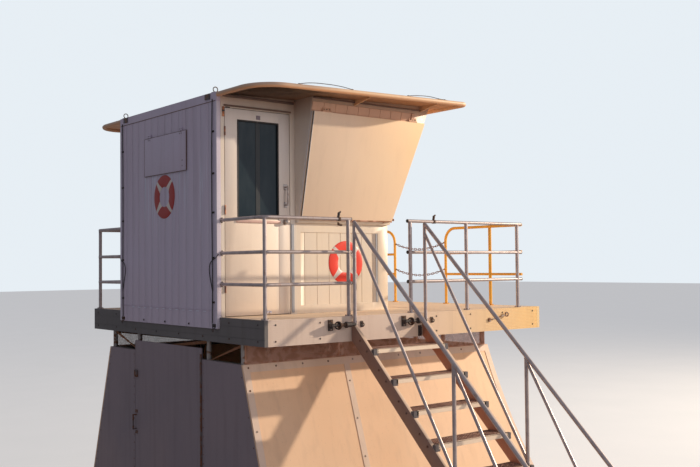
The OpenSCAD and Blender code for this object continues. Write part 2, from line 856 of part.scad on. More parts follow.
// Closed hatch in the back wall, with two hinges
hatch_w = 920;
hatch_y = -20;
hatch_drop = 306;
hatch_h = 405;
hatch_t = 12;
hatch_hinge_w = 60;
hatch_hinge_h = 40;
hatch_hinge_shares = [0.12, 0.88];
module back_hatch() {
  z1 = deck_top + roof_back_h - hatch_drop;
  color("#d5cdcb") {
    slab([cab_x0 - hatch_t, hatch_y - hatch_w / 2, z1 - hatch_h],
         [cab_x0 - seat, hatch_y + hatch_w / 2, z1]);
    for (share = hatch_hinge_shares) {
      y = hatch_y + (share - 0.5) * hatch_w;
      slab([cab_x0 - hatch_t, y - hatch_hinge_w / 2, z1],
           [cab_x0 - seat, y + hatch_hinge_w / 2, z1 + hatch_hinge_h]);
    }
  }
}

// Door leaf with its window opening
door_glass_x = 145;
module cabin_door() {
  gx = door_x0 + door_glass_x;
  color("#efe6da") difference() {
    slab([door_x0, -cab_y, door_z0], [door_x1, -cab_y + door_t, door_z1]);
    slab([gx, -cab_y - over, deck_top + door_glass_z0],
         [gx + door_glass_w, -cab_y + door_t + over, deck_top + door_glass_z1]);
  }
}

// Pane of the door's window
module door_glass() {
  gx = door_x0 + door_glass_x;
  y = -cab_y + (door_t - glass_t) / 2;
  color("#2b3a3c", 0.6)
    slab([gx + seat, y, deck_top + door_glass_z0 + seat],
         [gx + door_glass_w - seat, y + glass_t, deck_top + door_glass_z1 - seat]);
}

// Knob, pull, hinges and foot bumpers of the cabin door
knob_r = 26;
knob_neck_r = 12;
knob_out = 55;
knob_in = 52;
knob_z = 938;
pull_z0 = 1100;
pull_len = 200;
pull_r = 9;
pull_leg_r = 8;
pull_out = 45;
module door_fittings() {
  face = -cab_y - seat;
  kx = door_x1 - knob_in;
  color("#a9a39b") {
    translate([kx, face, deck_top + knob_z]) rotate([90, 0, 0])
      cylinder(h = knob_out - knob_r, r = knob_neck_r);
    translate([kx, face - knob_out + knob_r, deck_top + knob_z]) sphere(r = knob_r);
    translate([kx, face - pull_out, deck_top + pull_z0]) cylinder(h = pull_len, r = pull_r);
    for (z = [pull_z0 + pull_r, pull_z0 + pull_len - pull_r])
      bar([kx, face - pull_out, deck_top + z], [kx, face, deck_top + z], pull_leg_r);
    for (z = hinge_zs) {
      translate([door_hinge_x, door_hinge_y, deck_top + z - hinge_len / 2])
        cylinder(h = hinge_len, r = hinge_r);
      slab([door_x0 - seat - hinge_leaf_t, door_hinge_y, deck_top + z - hinge_len / 2],
           [door_x0 - seat, -cab_y + hinge_leaf_w, deck_top + z + hinge_len / 2]);
    }
  }
}

post_b_x = 1000;
post_c_x = 1811;
post_d_x = 2625;
post_e_x = 3440;
rail_end_out = 65;
rail_stub = 18;
flange_r = 25;
flange_t = 6;
foot_r = 38;
foot_t = 8;

// A railing post with its foot plate
module post(x, y) {
  translate([x, y, deck_top + seat]) cylinder(h = rail_top_h - rail_r / 2, r = post_r);
  translate([x, y, deck_top + seat]) cylinder(h = foot_t, r = foot_r);
}

// One rail of a corner railing, from the cabin's wall round the deck's corner to x1
module corner_rail(h, x1, r) {
  b = rail_bend_r;
  translate([0, 0, deck_top + h]) {
    bar([rail_x0, -cab_y - seat, 0], [rail_x0, -rail_y + b, 0], r);
    translate([rail_x0 + b, -rail_y + b, 0]) rotate([0, 0, 180])
      rotate_extrude(angle = 90) translate([b, 0]) circle(r = r);
    bar([rail_x0 + b, -rail_y, 0], [x1, -rail_y, 0], r);
  }
}

// A corner railing: a top rail, posts coped under it, and two lower rails cut at the posts
module corner_railing(x1, post_xs) {
  b = rail_bend_r;
  corner = [rail_x0 + b - b * cos(45), -rail_y + b - b * sin(45)];
  places = concat([corner], [for (x = post_xs) [deck_x0 + x, -rail_y]]);
  corner_rail(rail_top_h, x1, rail_r);
  for (h = [rail_top_h, rail_mid_h, rail_low_h])
    translate([rail_x0, -cab_y - seat, deck_top + h]) rotate([90, 0, 0])
      cylinder(h = flange_t, r = flange_r);
  difference() {
    for (p = places) post(p[0], p[1]);
    corner_rail(rail_top_h, x1, rail_r + seat);
  }
  difference() {
    for (h = [rail_mid_h, rail_low_h]) corner_rail(h, x1, rail_r);
    for (p = places) translate([p[0], p[1], deck_top]) cylinder(h = rail_top_h, r = post_r + seat);
  }
}

// Near railing from the cabin to the stair
module rail_near_rear() {
  color("#b9b4ab") corner_railing(deck_x0 + post_b_x + post_r + rail_stub, [post_b_x]);
}

// Near railing from the stair to the front
module rail_near_fore() {
  post_xs = [post_c_x, post_d_x, post_e_x];
  a = [deck_x0 + post_c_x - post_r - rail_stub, -rail_y, deck_top];
  b = [deck_x0 + post_e_x + rail_end_out, -rail_y, deck_top];
  color("#b9b4ab") {
    bar(a + [0, 0, rail_top_h], b + [0, 0, rail_top_h], rail_r);
    difference() {
      for (x = post_xs) post(deck_x0 + x, -rail_y);
      bar(a + [0, 0, rail_top_h], b + [0, 0, rail_top_h], rail_r + seat);
    }
    difference() {
      for (h = [rail_mid_h, rail_low_h]) bar(a + [0, 0, h], b + [0, 0, h], rail_r);
      for (x = post_xs) translate([deck_x0 + x, -rail_y, deck_top])
        cylinder(h = rail_top_h, r = post_r + seat);
    }
  }
}

// Far railing, without a gap
module rail_far() {
  color("#b9b4ab") mirror([0, 1, 0])
    corner_railing(deck_x0 + post_e_x + rail_end_out, [post_b_x, post_c_x, post_d_x, post_e_x]);
}

// Front railings on both sides of the gap, each with a bent end
front_rail_end = 130;
front_post_y = 620;
front_low_h = 370;
front_mid_h = 630;
front_low_rail_r = 15;
module front_rails() {
  b = front_bend_r;
  x = deck_x1 - front_rail_in;
  y_end = -deck_y + front_rail_end;
  y_post = -deck_y + front_post_y;
  y_gap = -front_gap / 2;
  z_top = deck_top + rail_top_h;
  color("#e0a63a") both_sides() {
    translate([x, y_gap, deck_top + seat]) cylinder(h = foot_t, r = foot_r);
    translate([x, y_gap, deck_top + seat]) cylinder(h = rail_top_h - b - seat, r = rail_r);
    translate([x, y_gap - b, z_top - b]) rotate([90, 0, 90])
      rotate_extrude(angle = 90) translate([b, 0]) circle(r = rail_r);
    bar([x, y_end, z_top], [x, y_gap - b, z_top], rail_r);
    difference() {
      post(x, y_post);
      bar([x, y_end, z_top], [x, y_gap - b, z_top], rail_r + seat);
    }
    difference() {
      for (h = [front_low_h, front_mid_h])
        bar([x, y_end, deck_top + h], [x, y_gap, deck_top + h], front_low_rail_r);
      translate([x, y_post, deck_top]) cylinder(h = rail_top_h, r = post_r + seat);
      translate([x, y_gap, deck_top]) cylinder(h = rail_top_h, r = rail_r + seat);
    }
  }
}

// One chain link lying along X, with its ring upright when turn is 90
module link(pitch, turn) {
  r = chain_wire_r;
  bow = 3 * r;
  half = (pitch + 2 * r + seat) / 2 - bow;
  rotate([turn, 0, 0]) {
    for (s = [-1, 1]) {
      translate([s * half, 0, 0]) rotate([0, 0, s * 90 - 180])
        rotate_extrude(angle = 180) translate([bow, 0]) circle(r = r);
      bar([-half, s * bow, 0], [half, s * bow, 0], r);
    }
  }
}

// Two chains across the gap in the front railing
chain_hs = [765, 430];
link_shares = [for (i = [0 : chain_links - 1]) i / (chain_links - 1)];
link_slopes = [for (t = link_shares) chain_slope * (2 * t - 1)];
function run_to(i) = i < 1 ? 0 : run_to(i - 1) + cos(link_slopes[i - 1]);
function drop_to(i) = i < 1 ? 0 : drop_to(i - 1) + sin(link_slopes[i - 1]);
module front_chains() {
  clear = rail_r + 2 * chain_wire_r + 2 * seat;
  pitch = (front_gap - 2 * clear) / run_to(chain_links);
  color("#8a5a3a") for (h = chain_hs) for (i = [0 : chain_links - 1])
    translate([
      deck_x1 - front_rail_in,
      -front_gap / 2 + clear + pitch * (run_to(i) + cos(link_slopes[i]) / 2),
      deck_top + h + pitch * (drop_to(i) + sin(link_slopes[i]) / 2)
    ]) rotate([0, 0, 90]) rotate([0, -link_slopes[i], 0]) link(pitch, i % 2 * 90);
}

// Height of the stringer's top edge at a distance out from the deck's edge
function stringer_z(out) = deck_top - stringer_drop - stair_slope * out;

// Two sloping stringers from the deck's edge to the ground
module stair_stringers() {
  out_top = (deck_top - stringer_drop) / stair_slope;
  out_low = (deck_top - stringer_drop - stringer_v) / stair_slope;
  y = -deck_y - seat;
  color("#7b6a5c") for (s = [-1, 1]) {
    x = stair_mid_x + s * (stringer_in + stringer_t / 2) - stringer_t / 2;
    along_x(x, x + stringer_t, [
      [y, stringer_z(0)], [y, stringer_z(0) - stringer_v], [y - out_low, 0], [y - out_top, 0]
    ]);
  }
}

// Treads between the stringers, each with a nosing whose end brackets stand on the stringers
nosing_out = 58;
nosing_h = 40;
nosing_t = 10;
bracket_d = 36;
bracket_lap = 20;
module stair_treads() {
  half = stringer_in - seat;
  out = stringer_in + stringer_t;
  color("#cfc3ae") for (i = [1 : rises - 1]) {
    run = nosing_out + tread_run * i;
    y = -deck_y - run;
    z = deck_top - tread_sink - rise * i;
    slab([stair_mid_x - half, y, z - tread_t], [stair_mid_x + half, y + tread_d, z]);
    slab([stair_mid_x - half, y, z - nosing_h], [stair_mid_x + half, y + nosing_t, z]);
    for (x = [stair_mid_x - out, stair_mid_x + half - bracket_lap])
      along_x(x, x + out - half + bracket_lap, [
        [y, stringer_z(run) + seat], [y, z],
        [y + bracket_d, z], [y + bracket_d, stringer_z(run - bracket_d) + seat]
      ]);
  }
}

// One stair rail: a sloping top rail, three posts and two diagonals
stair_post_outs = [30, 1360, 2690];
diagonal_drops = [95, 35];
diagonal_r = 15;
stair_post_r = 18;
function stair_rail_z(out) = deck_top + rail_top_h - stair_slope * out;
module stair_rail(x) {
  y = -deck_y;
  difference() {
    union() {
      bar([x, y - stair_post_outs[0], stair_rail_z(stair_post_outs[0])],
          [x, y - stair_post_outs[2], stair_rail_z(stair_post_outs[2])], stair_rail_r);
      for (i = [0 : 2]) {
        out = stair_post_outs[i];
        translate([x, y - out, stringer_z(out) - stringer_v])
          cylinder(h = stair_rail_z(out) - stringer_z(out) + stringer_v, r = stair_post_r);
        if (i > 0)
          bar([x, y - stair_post_outs[i - 1], stair_rail_z(stair_post_outs[i - 1]) - diagonal_drops[i - 1]],
              [x, y - out, stringer_z(out) + 2 * diagonal_r], diagonal_r);
      }
    }
    along_x(x - over, x + over, [
      [y, stringer_z(0) + seat], [y - far_off, stringer_z(far_off) + seat],
      [y - far_off, -far_off], [y, -far_off]
    ]);
  }
}

// Stair rail on the back side
module stair_rail_left() {
  color("#b9b4ab") stair_rail(stair_mid_x - stringer_in - stringer_t / 2);
}

// Stair rail on the sea side
module stair_rail_right() {
  color("#b9b4ab") stair_rail(stair_mid_x + stringer_in + stringer_t / 2);
}

// Hooks that hang the stringers on the near fascia: a pivot pipe beside each stringer's head,
// held by a hook on the fascia, with a ring round it
pivot_r = 14;
pivot_len = 290;
pivot_out = 62;
pivot_drop = 75;
pivot_ring_in = 195;
pivot_ring_r = 26;
pivot_ring_wire_r = 7;
pivot_hub_r = 20;
hook_in = 285;
hook_t = 14;
hook_h = 105;
hook_wid = 50;
collar_in = 60;
collar_w = 45;
collar_r = 25;
module stair_hooks() {
  z = deck_top - pivot_drop;
  y = -deck_y - pivot_out;
  color("#4b4540") for (s = [-1, 1]) {
    x = stair_mid_x + s * stringer_in + (s - 1) / 2 * stringer_t - seat;
    bar([x - pivot_len, y, z], [x, y, z], pivot_r);
    translate([x - collar_in - collar_w, y, z]) rotate([0, 90, 0]) cylinder(h = collar_w, r = collar_r);
    translate([x - pivot_ring_in, y, z]) rotate([0, 90, 0]) {
      rotate_extrude() translate([pivot_ring_r, 0]) circle(r = pivot_ring_wire_r);
      translate([0, 0, -pivot_ring_wire_r]) cylinder(h = 2 * pivot_ring_wire_r, r = pivot_hub_r);
    }
    slab([x - hook_in, -deck_y - hook_t - seat, z - hook_h / 2],
         [x - hook_in + hook_wid, -deck_y - seat, z + hook_h / 2]);
    slab([x - hook_in, y - pivot_r, z - pivot_r], [x - hook_in + hook_t, -deck_y - seat, z + pivot_r]);
    slab([x - hook_in + hook_wid - hook_t, y - pivot_r, z - pivot_r],
         [x - hook_in + hook_wid, -deck_y - seat, z + pivot_r]);
  }
}

// Lifting eyes on the roof over the cabin's corners, with a plate on the back wall at each back corner
eye_back_in = 34;
eye_front_in = 80;
eye_side_in = 72;
eye_r = 25;
eye_wire_r = 5;
eye_plate = 60;
eye_plate_t = 6;
corner_plate_w = 86;
corner_plate_h = 54;
corner_plate_t = 12;
corner_plate_in = 112;
module lifting_eyes() {
  color("#5b4c40") both_sides() {
    for (x = [cab_x0 + eye_back_in, cab_x1 - eye_front_in])
      translate([x, cab_y - eye_side_in, roof_z(x) + seat]) rotate([0, -roof_tilt, 0]) {
        translate([-eye_plate / 2, -eye_plate / 2, 0]) cube([eye_plate, eye_plate, eye_plate_t]);
        translate([0, 0, eye_plate_t + eye_r]) rotate([90, 0, 0])
          rotate_extrude() translate([eye_r, 0]) circle(r = eye_wire_r);
      }
    slab([cab_x0 - band_t - corner_plate_t - seat, cab_y - corner_plate_in - corner_plate_w,
          roof_z(cab_x0) - corner_plate_h - eye_plate_t],
         [cab_x0 - band_t - seat, cab_y - corner_plate_in, roof_z(cab_x0) - eye_plate_t]);
  }
}

// Cables clipped down the back wall's corners
cable_r = 5;
cable_sides = 8;
cable_in = 66;
cable_off = band_t + seat;
cable_offs = [0, 6, 12, 14, 14, 10, 8, 14, 16];
cable_shares = [0.97, 0.87, 0.78, 0.64, 0.457, 0.274, 0.137, 0.027, -0.027];
cable_route = [for (i = [0 : len(cable_offs) - 1]) [0, cable_offs[i], cable_shares[i] * roof_back_h]];
cable_turns = [for (i = [0 : cable_sides - 1]) 360 * i / cable_sides];
function ring_at(p, r) = [for (a = cable_turns) p + r * [cos(a), sin(a), 0]];
module tube(route, r) {
  n = len(route);
  points = [for (p = route) each ring_at(p, r)];
  last = (n - 1) * cable_sides;
  caps = [[for (i = [0 : cable_sides - 1]) i], [for (i = [cable_sides - 1 : -1 : 0]) last + i]];
  walls = [for (k = [0 : n - 2]) for (i = [0 : cable_sides - 1]) let (j = (i + 1) % cable_sides)
    [k * cable_sides + i, (k + 1) * cable_sides + i, (k + 1) * cable_sides + j, k * cable_sides + j]];
  polyhedron(points, concat(caps, walls), convexity = 4);
}
module hold_down_cables() {
  color("#2d2a28") both_sides() translate([cab_x0 - cable_r - cable_off, -cab_y + cable_in, deck_top])
    tube(cable_route, cable_r);
}

base_sill();
base_top_ring();
base_studs();
base_stubs();
base_braces();
base_panels_side();
base_panel_front();
base_panels_back();
base_trim();
base_door();
base_door_fittings();
deck_beams();
deck_joists();
deck_floor();
fascia_ends();
fascia_sides();
wall_back();
door_jambs();
wall_over_door();
wall_far_rear();
walls_side_low();
wall_front_low();
flare_near();
flare_far();
flare_front();
shutter_near();
shutter_far();
shutter_front();
shutter_hinges();
roof();
roof_gussets();
roof_band();
back_hatch();
cabin_door();
door_glass();
door_fittings();
rail_near_rear();
rail_near_fore();
rail_far();
front_rails();
front_chains();
stair_stringers();
stair_treads();
stair_rail_left();
stair_rail_right();
stair_hooks();
lifting_eyes();
hold_down_cables();
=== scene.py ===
"""A lifeguard tower: a moulded cabin on a railed deck over a sloping base, with a steel stair.

Metres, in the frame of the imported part: +Z up, +X to the sea, -Y the stair side.
"""

import math

import bmesh
import bpy
from mathutils import Matrix, Vector


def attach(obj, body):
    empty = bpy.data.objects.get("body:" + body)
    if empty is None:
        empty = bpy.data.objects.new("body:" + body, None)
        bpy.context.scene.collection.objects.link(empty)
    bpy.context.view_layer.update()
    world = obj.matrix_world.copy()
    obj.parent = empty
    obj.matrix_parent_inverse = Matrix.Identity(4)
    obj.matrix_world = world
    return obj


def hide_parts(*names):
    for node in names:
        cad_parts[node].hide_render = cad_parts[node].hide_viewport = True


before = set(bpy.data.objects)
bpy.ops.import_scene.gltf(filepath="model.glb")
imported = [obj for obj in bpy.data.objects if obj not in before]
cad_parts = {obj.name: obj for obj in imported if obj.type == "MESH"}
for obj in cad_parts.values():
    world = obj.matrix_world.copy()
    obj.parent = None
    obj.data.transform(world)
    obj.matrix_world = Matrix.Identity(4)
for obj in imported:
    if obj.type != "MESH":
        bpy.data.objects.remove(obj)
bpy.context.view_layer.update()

# ---------------------------------------------------------------- camera
# Stands on the beach behind the stair side, a little above the deck's height.
camera_data = bpy.data.cameras.new("beach_camera")
camera_data.sensor_width = 36.0
camera_data.lens = 48.34
camera = bpy.data.objects.new("beach_camera", camera_data)
bpy.context.scene.collection.objects.link(camera)
camera_right = Vector((0.78129, -0.62410, -0.00949))
camera_up = Vector((-0.01379, -0.03246, 0.99938))
camera_forward = Vector((0.62402, 0.78067, 0.03397))
camera.matrix_world = Matrix.Translation((-6.6175, -8.940, 3.114)) @ Matrix(
    (camera_right, camera_up, -camera_forward)).transposed().to_4x4()
bpy.context.scene.camera = camera

# ---------------------------------------------------------------- floor and light
# A plain pale floor and sky. The key lamp stands where the low sun is, out over the sea side,
# and a wide soft lamp fills the stair side.
bpy.context.scene.view_settings.view_transform = "Standard"


class Value:
    """A number socket of a material's nodes, so that masks can be written as sums."""

    def __init__(self, finish, socket):
        self.finish = finish
        self.socket = socket

    def maths(self, operation, *others):
        sockets = {i: value for i, value in enumerate((self,) + others)}
        made = self.finish.node("ShaderNodeMath", {"operation": operation}, sockets)
        return Value(self.finish, made.outputs[0])

    def __add__(self, other):
        return self.maths("ADD", other)

    __radd__ = __add__

    def __mul__(self, other):
        return self.maths("MULTIPLY", other)

    __rmul__ = __mul__

    def __sub__(self, other):
        return self.maths("SUBTRACT", other)

    def __rsub__(self, other):
        return (self * -1.0).maths("ADD", other)

    def between(self, low, high):
        """0 at low, 1 at high, and straight between them."""
        made = self.finish.node("ShaderNodeMapRange", {}, {
            "Value": self, "From Min": low, "From Max": high, "To Min": 0.0, "To Max": 1.0})
        return Value(self.finish, made.outputs["Result"])


class Finish:
    """A material in the making: one shader, and the nodes that vary its colour, gloss and relief."""

    def __init__(self, name, **constants):
        self.material = bpy.data.materials.new(name)
        self.material.use_nodes = True
        self.tree = self.material.node_tree
        self.tree.nodes.clear()
        self.shader = self.node("ShaderNodeBsdfPrincipled", {}, {
            key.replace("_", " "): value for key, value in constants.items()})
        self.output = self.node("ShaderNodeOutputMaterial", {}, {"Surface": self.shader.outputs[0]})
        coordinates = self.node("ShaderNodeTexCoord", {}, {})
        self.place = coordinates.outputs["Object"]
        self.normal = coordinates.outputs["Normal"]

    def node(self, kind, settings, sockets):
        made = self.tree.nodes.new(kind)
        for key, value in settings.items():
            setattr(made, key, value)
        for key, value in sockets.items():
            value = value.socket if isinstance(value, Value) else value
            if isinstance(value, bpy.types.NodeSocket):
                self.tree.links.new(value, made.inputs[key])
            else:
                made.inputs[key].default_value = value
        return made

    def along(self, axis):
        """A coordinate of the surface, in metres: axis is X, Y or Z."""
        return Value(self, self.node("ShaderNodeSeparateXYZ", {}, {0: self.place}).outputs[axis])

    def facing(self, axis):
        """How far the surface looks along an axis, from -1 to 1."""
        return Value(self, self.node("ShaderNodeSeparateXYZ", {}, {0: self.normal}).outputs[axis])

    def stretched(self, stretch):
        return self.node("ShaderNodeMapping", {}, {
            "Vector": self.place, "Scale": [1.0 / s for s in stretch]}).outputs[0]

    def noise(self, scale, detail=3.0, stretch=(1.0, 1.0, 1.0)):
        """Noise of about scale bumps a metre; stretch makes them longer along an axis."""
        made = self.node("ShaderNodeTexNoise", {}, {
            "Vector": self.stretched(stretch), "Scale": scale, "Detail": detail, "Roughness": 0.58})
        return Value(self, made.outputs[0])

    def spots(self, scale, stretch=(1.0, 1.0, 1.0)):
        """Distance from the nearest of about scale scattered points a metre, in parts of their spacing."""
        made = self.node("ShaderNodeTexVoronoi", {}, {
            "Vector": self.stretched(stretch), "Scale": scale, "Randomness": 1.0})
        return Value(self, made.outputs["Distance"])

    def mix(self, amount, first, second):
        """The first colour, and the second where amount is 1."""
        made = self.node("ShaderNodeMix", {"data_type": "RGBA"}, {0: amount, 6: first, 7: second})
        return made.outputs[2]

    def colour(self, socket):
        self.tree.links.new(socket, self.shader.inputs["Base Color"])
        return self

    def gloss(self, roughness):
        self.tree.links.new(roughness.socket, self.shader.inputs["Roughness"])
        return self

    def relief(self, height, depth):
        """Bumps of that depth in metres."""
        bump = self.node("ShaderNodeBump", {}, {"Height": height, "Strength": 1.0, "Distance": depth})
        self.tree.links.new(bump.outputs[0], self.shader.inputs["Normal"])
        return self


def rgb(red, green, blue):
    return (red, green, blue, 1.0)


def ground_finish():
    """Pale ground that takes the shadow, and looks a little brighter to the camera alone."""
    finish = Finish("pale_floor", Roughness=0.9)
    finish.colour(finish.mix(finish.noise(0.7, 2.0), rgb(0.44, 0.43, 0.42), rgb(0.50, 0.48, 0.47)))
    rays = finish.node("ShaderNodeLightPath", {}, {})
    glow = finish.node("ShaderNodeEmission", {}, {"Color": rgb(0.90, 0.91, 0.93), "Strength": 0.44})
    dark = finish.node("ShaderNodeEmission", {}, {"Color": rgb(0.0, 0.0, 0.0), "Strength": 0.0})
    seen = finish.node("ShaderNodeMixShader", {}, {
        0: rays.outputs["Is Camera Ray"], 1: dark.outputs[0], 2: glow.outputs[0]})
    both = finish.node("ShaderNodeAddShader", {}, {0: finish.shader.outputs[0], 1: seen.outputs[0]})
    finish.tree.links.new(both.outputs[0], finish.output.inputs["Surface"])
    return finish.material


bpy.ops.mesh.primitive_plane_add(size=240.0, location=(0.0, 0.0, -0.001))
floor = bpy.context.object
floor.name = "floor"
floor.data.materials.append(ground_finish())

world = bpy.data.worlds.new("sky")
bpy.context.scene.world = world
world.use_nodes = True
sky_nodes = world.node_tree.nodes
sky_light = sky_nodes["Background"]
sky_light.inputs["Color"].default_value = rgb(0.86, 0.88, 1.0)
sky_light.inputs["Strength"].default_value = 0.29
sky_seen = sky_nodes.new("ShaderNodeBackground")
sky_seen.inputs["Color"].default_value = rgb(0.80, 0.86, 0.91)
sky_seen.inputs["Strength"].default_value = 1.0
sky_rays = sky_nodes.new("ShaderNodeLightPath")
sky_any = sky_nodes.new("ShaderNodeMath")
sky_any.operation = "MAXIMUM"
sky_mix = sky_nodes.new("ShaderNodeMixShader")
sky_links = world.node_tree.links
sky_links.new(sky_rays.outputs["Is Camera Ray"], sky_any.inputs[0])
sky_links.new(sky_rays.outputs["Is Transmission Ray"], sky_any.inputs[1])
sky_links.new(sky_any.outputs[0], sky_mix.inputs[0])
sky_links.new(sky_light.outputs[0], sky_mix.inputs[1])
sky_links.new(sky_seen.outputs[0], sky_mix.inputs[2])
sky_links.new(sky_mix.outputs[0], sky_nodes["World Output"].inputs["Surface"])


def add_lamp(name, size, level, colour, place, target):
    """A round lamp whose light makes a white card at the target, square to it, look level bright."""
    direction = Vector(target) - Vector(place)
    lamp = bpy.data.lights.new(name, "AREA")
    lamp.shape = "DISK"
    lamp.size = size
    lamp.energy = level * math.pi ** 2 * direction.length_squared
    lamp.color = colour
    obj = bpy.data.objects.new(name, lamp)
    bpy.context.scene.collection.objects.link(obj)
    obj.matrix_world = Matrix.Translation(place) @ direction.to_track_quat("-Z", "Y").to_matrix().to_4x4()


add_lamp("low_sun", 0.5, 1.16, (1.0, 0.84, 0.64), (21.0, -9.9, 9.8), (0.0, 0.0, 2.8))
add_lamp("stair_side_fill", 9.0, 0.17, (1.0, 0.90, 0.84), (1.5, -17.0, 7.0), (0.0, 0.0, 2.8))

# ---------------------------------------------------------------- ground frame
# A welded frame of square tube carries the base: sills, studs and a top ring, painted grey-brown.
# Galvanised round posts and rusty flat braces stand on the ring, under the deck's beams.


def weather(finish, fresh, faded, dirt, rough=0.5, runs=0.35, specks=0.4, grain=0.0004):
    """Paint that has stood outdoors: faded in clouds, with dirt run down it and fine specks."""
    clouds = finish.noise(0.9, 5.0).between(0.36, 0.64)
    streaks = finish.noise(11.0, 3.0, (1.0, 1.0, 14.0)).between(0.50, 0.80)
    grit = finish.noise(60.0, 4.0)
    flecks = finish.spots(42.0).between(0.20, 0.06) * grit.between(0.48, 0.62)
    worn = finish.mix(clouds, fresh, faded)
    run_down = finish.mix(streaks * runs, worn, dirt)
    finish.colour(finish.mix(flecks * specks, run_down, dirt))
    finish.gloss(grit * 0.24 + clouds * 0.06 + (rough - 0.15))
    return finish.relief(grit, grain)


def rusted(name, paint, rust, dark, amount):
    """Iron whose paint or zinc is going: rust shows where amount of the surface has lost it."""
    finish = Finish(name, Metallic=0.15)
    eaten = finish.noise(14.0, 6.0).between(0.62 - amount * 0.3, 0.68 - amount * 0.3)
    pits = finish.noise(110.0, 4.0)
    scale = finish.mix(pits.between(0.4, 0.65), rust, dark)
    finish.colour(finish.mix(eaten, paint, scale))
    finish.gloss(eaten * 0.35 + pits * 0.2 + 0.36)
    return finish.relief(pits * eaten, 0.0009)


def wear(nodes, finish):
    """Gives carried-over nodes their finish."""
    for name in nodes:
        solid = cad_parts[name]
        solid.data.materials.clear()
        solid.data.materials.append(finish.material)


wear(["base_sill", "base_top_ring", "base_studs", "deck_beams"],
     weather(Finish("frame_paint"), rgb(0.20, 0.18, 0.16), rgb(0.27, 0.24, 0.21), rgb(0.12, 0.07, 0.04),
             0.65))
wear(["base_stubs"],
     rusted("post_zinc", rgb(0.40, 0.36, 0.34), rgb(0.26, 0.12, 0.06), rgb(0.14, 0.07, 0.04), 0.35))
wear(["base_braces"],
     rusted("brace_rust", rgb(0.36, 0.22, 0.15), rgb(0.38, 0.16, 0.07), rgb(0.20, 0.09, 0.05), 0.9))

# ---------------------------------------------------------------- base panels
# Painted sheets lean against the studs. Flat strips cover their edges and are held by domed screws;
# the back sheets are riveted to the door's studs.
base_half_ground = 2.145
base_lean = 0.32118
base_back_x = -1.9225
screw_band_z = 2.165
screw_spacing = 0.312


def alone(obj):
    """Only this object is selected and active."""
    bpy.ops.object.select_all(action="DESELECT")
    obj.select_set(True)
    bpy.context.view_layer.objects.active = obj


def pick(obj, test):
    """In edit mode, selects the faces that pass a test, and nothing else."""
    bpy.ops.mesh.select_all(action="DESELECT")
    bpy.context.tool_settings.mesh_select_mode = (False, False, True)
    shape = bmesh.from_edit_mesh(obj.data)
    for face in shape.faces:
        if test(face.normal, face.calc_center_median()):
            face.select_set(True)
    bmesh.update_edit_mesh(obj.data)


def set_place():
    bpy.ops.object.transform_apply(location=True, rotation=True, scale=True)


def bolt(radius, height):
    """A bolt's head on its washer, standing on the plane z = 0."""
    bpy.ops.object.select_all(action="DESELECT")
    bpy.ops.mesh.primitive_cylinder_add(vertices=12, radius=radius, depth=height * 0.25,
                                        location=(0.0, 0.0, height * 0.125))
    made = bpy.context.object
    set_place()
    bpy.ops.object.mode_set(mode="EDIT")
    pick(made, lambda normal, middle: normal.z > 0.9)
    bpy.ops.mesh.inset(thickness=radius * 0.35)
    bpy.ops.mesh.extrude_region_move(TRANSFORM_OT_translate={"value": (0.0, 0.0, height * 0.6)})
    bpy.ops.mesh.inset(thickness=radius * 0.14)
    bpy.ops.transform.translate(value=(0.0, 0.0, height * 0.15))
    bpy.ops.object.mode_set(mode="OBJECT")
    bpy.ops.object.shade_smooth_by_angle(angle=0.6)
    return made


def facing(place, normal):
    """The placement that stands a pattern on a surface there."""
    return Matrix.Translation(place) @ Vector(normal).to_track_quat("Z", "Y").to_matrix().to_4x4()


def joined(parts):
    alone(parts[0])
    for part in parts[1:]:
        part.select_set(True)
    if len(parts) > 1:
        bpy.ops.object.join()
    return bpy.context.view_layer.objects.active


def copies(pattern, placements):
    """The pattern at every placement, each copy with its own mesh, joined into one piece."""
    made = []
    for placement in placements:
        mesh = pattern.data.copy()
        mesh.transform(placement)
        if placement.determinant() < 0:
            mesh.flip_normals()
        copy = bpy.data.objects.new("copy", mesh)
        bpy.context.scene.collection.objects.link(copy)
        made.append(copy)
    bpy.data.objects.remove(pattern)
    return joined(made)


def fit(piece, name, body, finish, slot, *nodes):
    """Names a piece, gives it its finish and fixes it to its body."""
    piece.name = name
    piece.data.materials.clear()
    piece.data.materials.append(finish.material)
    for node in nodes:
        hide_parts(node)
    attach(piece, body)
    return piece


side_paint = Finish("base_side_paint")
# The base's peach warms towards the sea end: painted glow of the low sun, not a change in the paint.
painted_sun_glow_base = side_paint.along("X").between(0.2, 2.0)
base_peach_and_painted_glow = side_paint.mix(painted_sun_glow_base, rgb(0.86, 0.54, 0.33), rgb(0.90, 0.60, 0.36))
weather(side_paint, base_peach_and_painted_glow, rgb(0.86, 0.57, 0.37), rgb(0.38, 0.23, 0.15), 0.6, runs=0.20, specks=0.6)
wear(["base_panels_side", "base_panel_front"], side_paint)

back_sheet_paint = Finish("base_back_paint")
# The back sheets turn lighter and pinker towards the ground: painted light, for the deck's shade over
# their upper part.
painted_light_low_back = back_sheet_paint.along("Z").between(1.9, 0.6)
back_mauve = back_sheet_paint.mix(painted_light_low_back, rgb(0.30, 0.235, 0.265), rgb(0.33, 0.25, 0.26))
weather(back_sheet_paint, back_mauve, rgb(0.27, 0.22, 0.25), rgb(0.14, 0.10, 0.10), 0.55, runs=0.3)
wear(["base_panels_back", "base_door"], back_sheet_paint)

strip_paint = weather(Finish("base_strip_paint"), rgb(0.78, 0.58, 0.44), rgb(0.72, 0.55, 0.46),
                      rgb(0.34, 0.22, 0.16), 0.55, runs=0.3)
wear(["base_trim"], strip_paint)

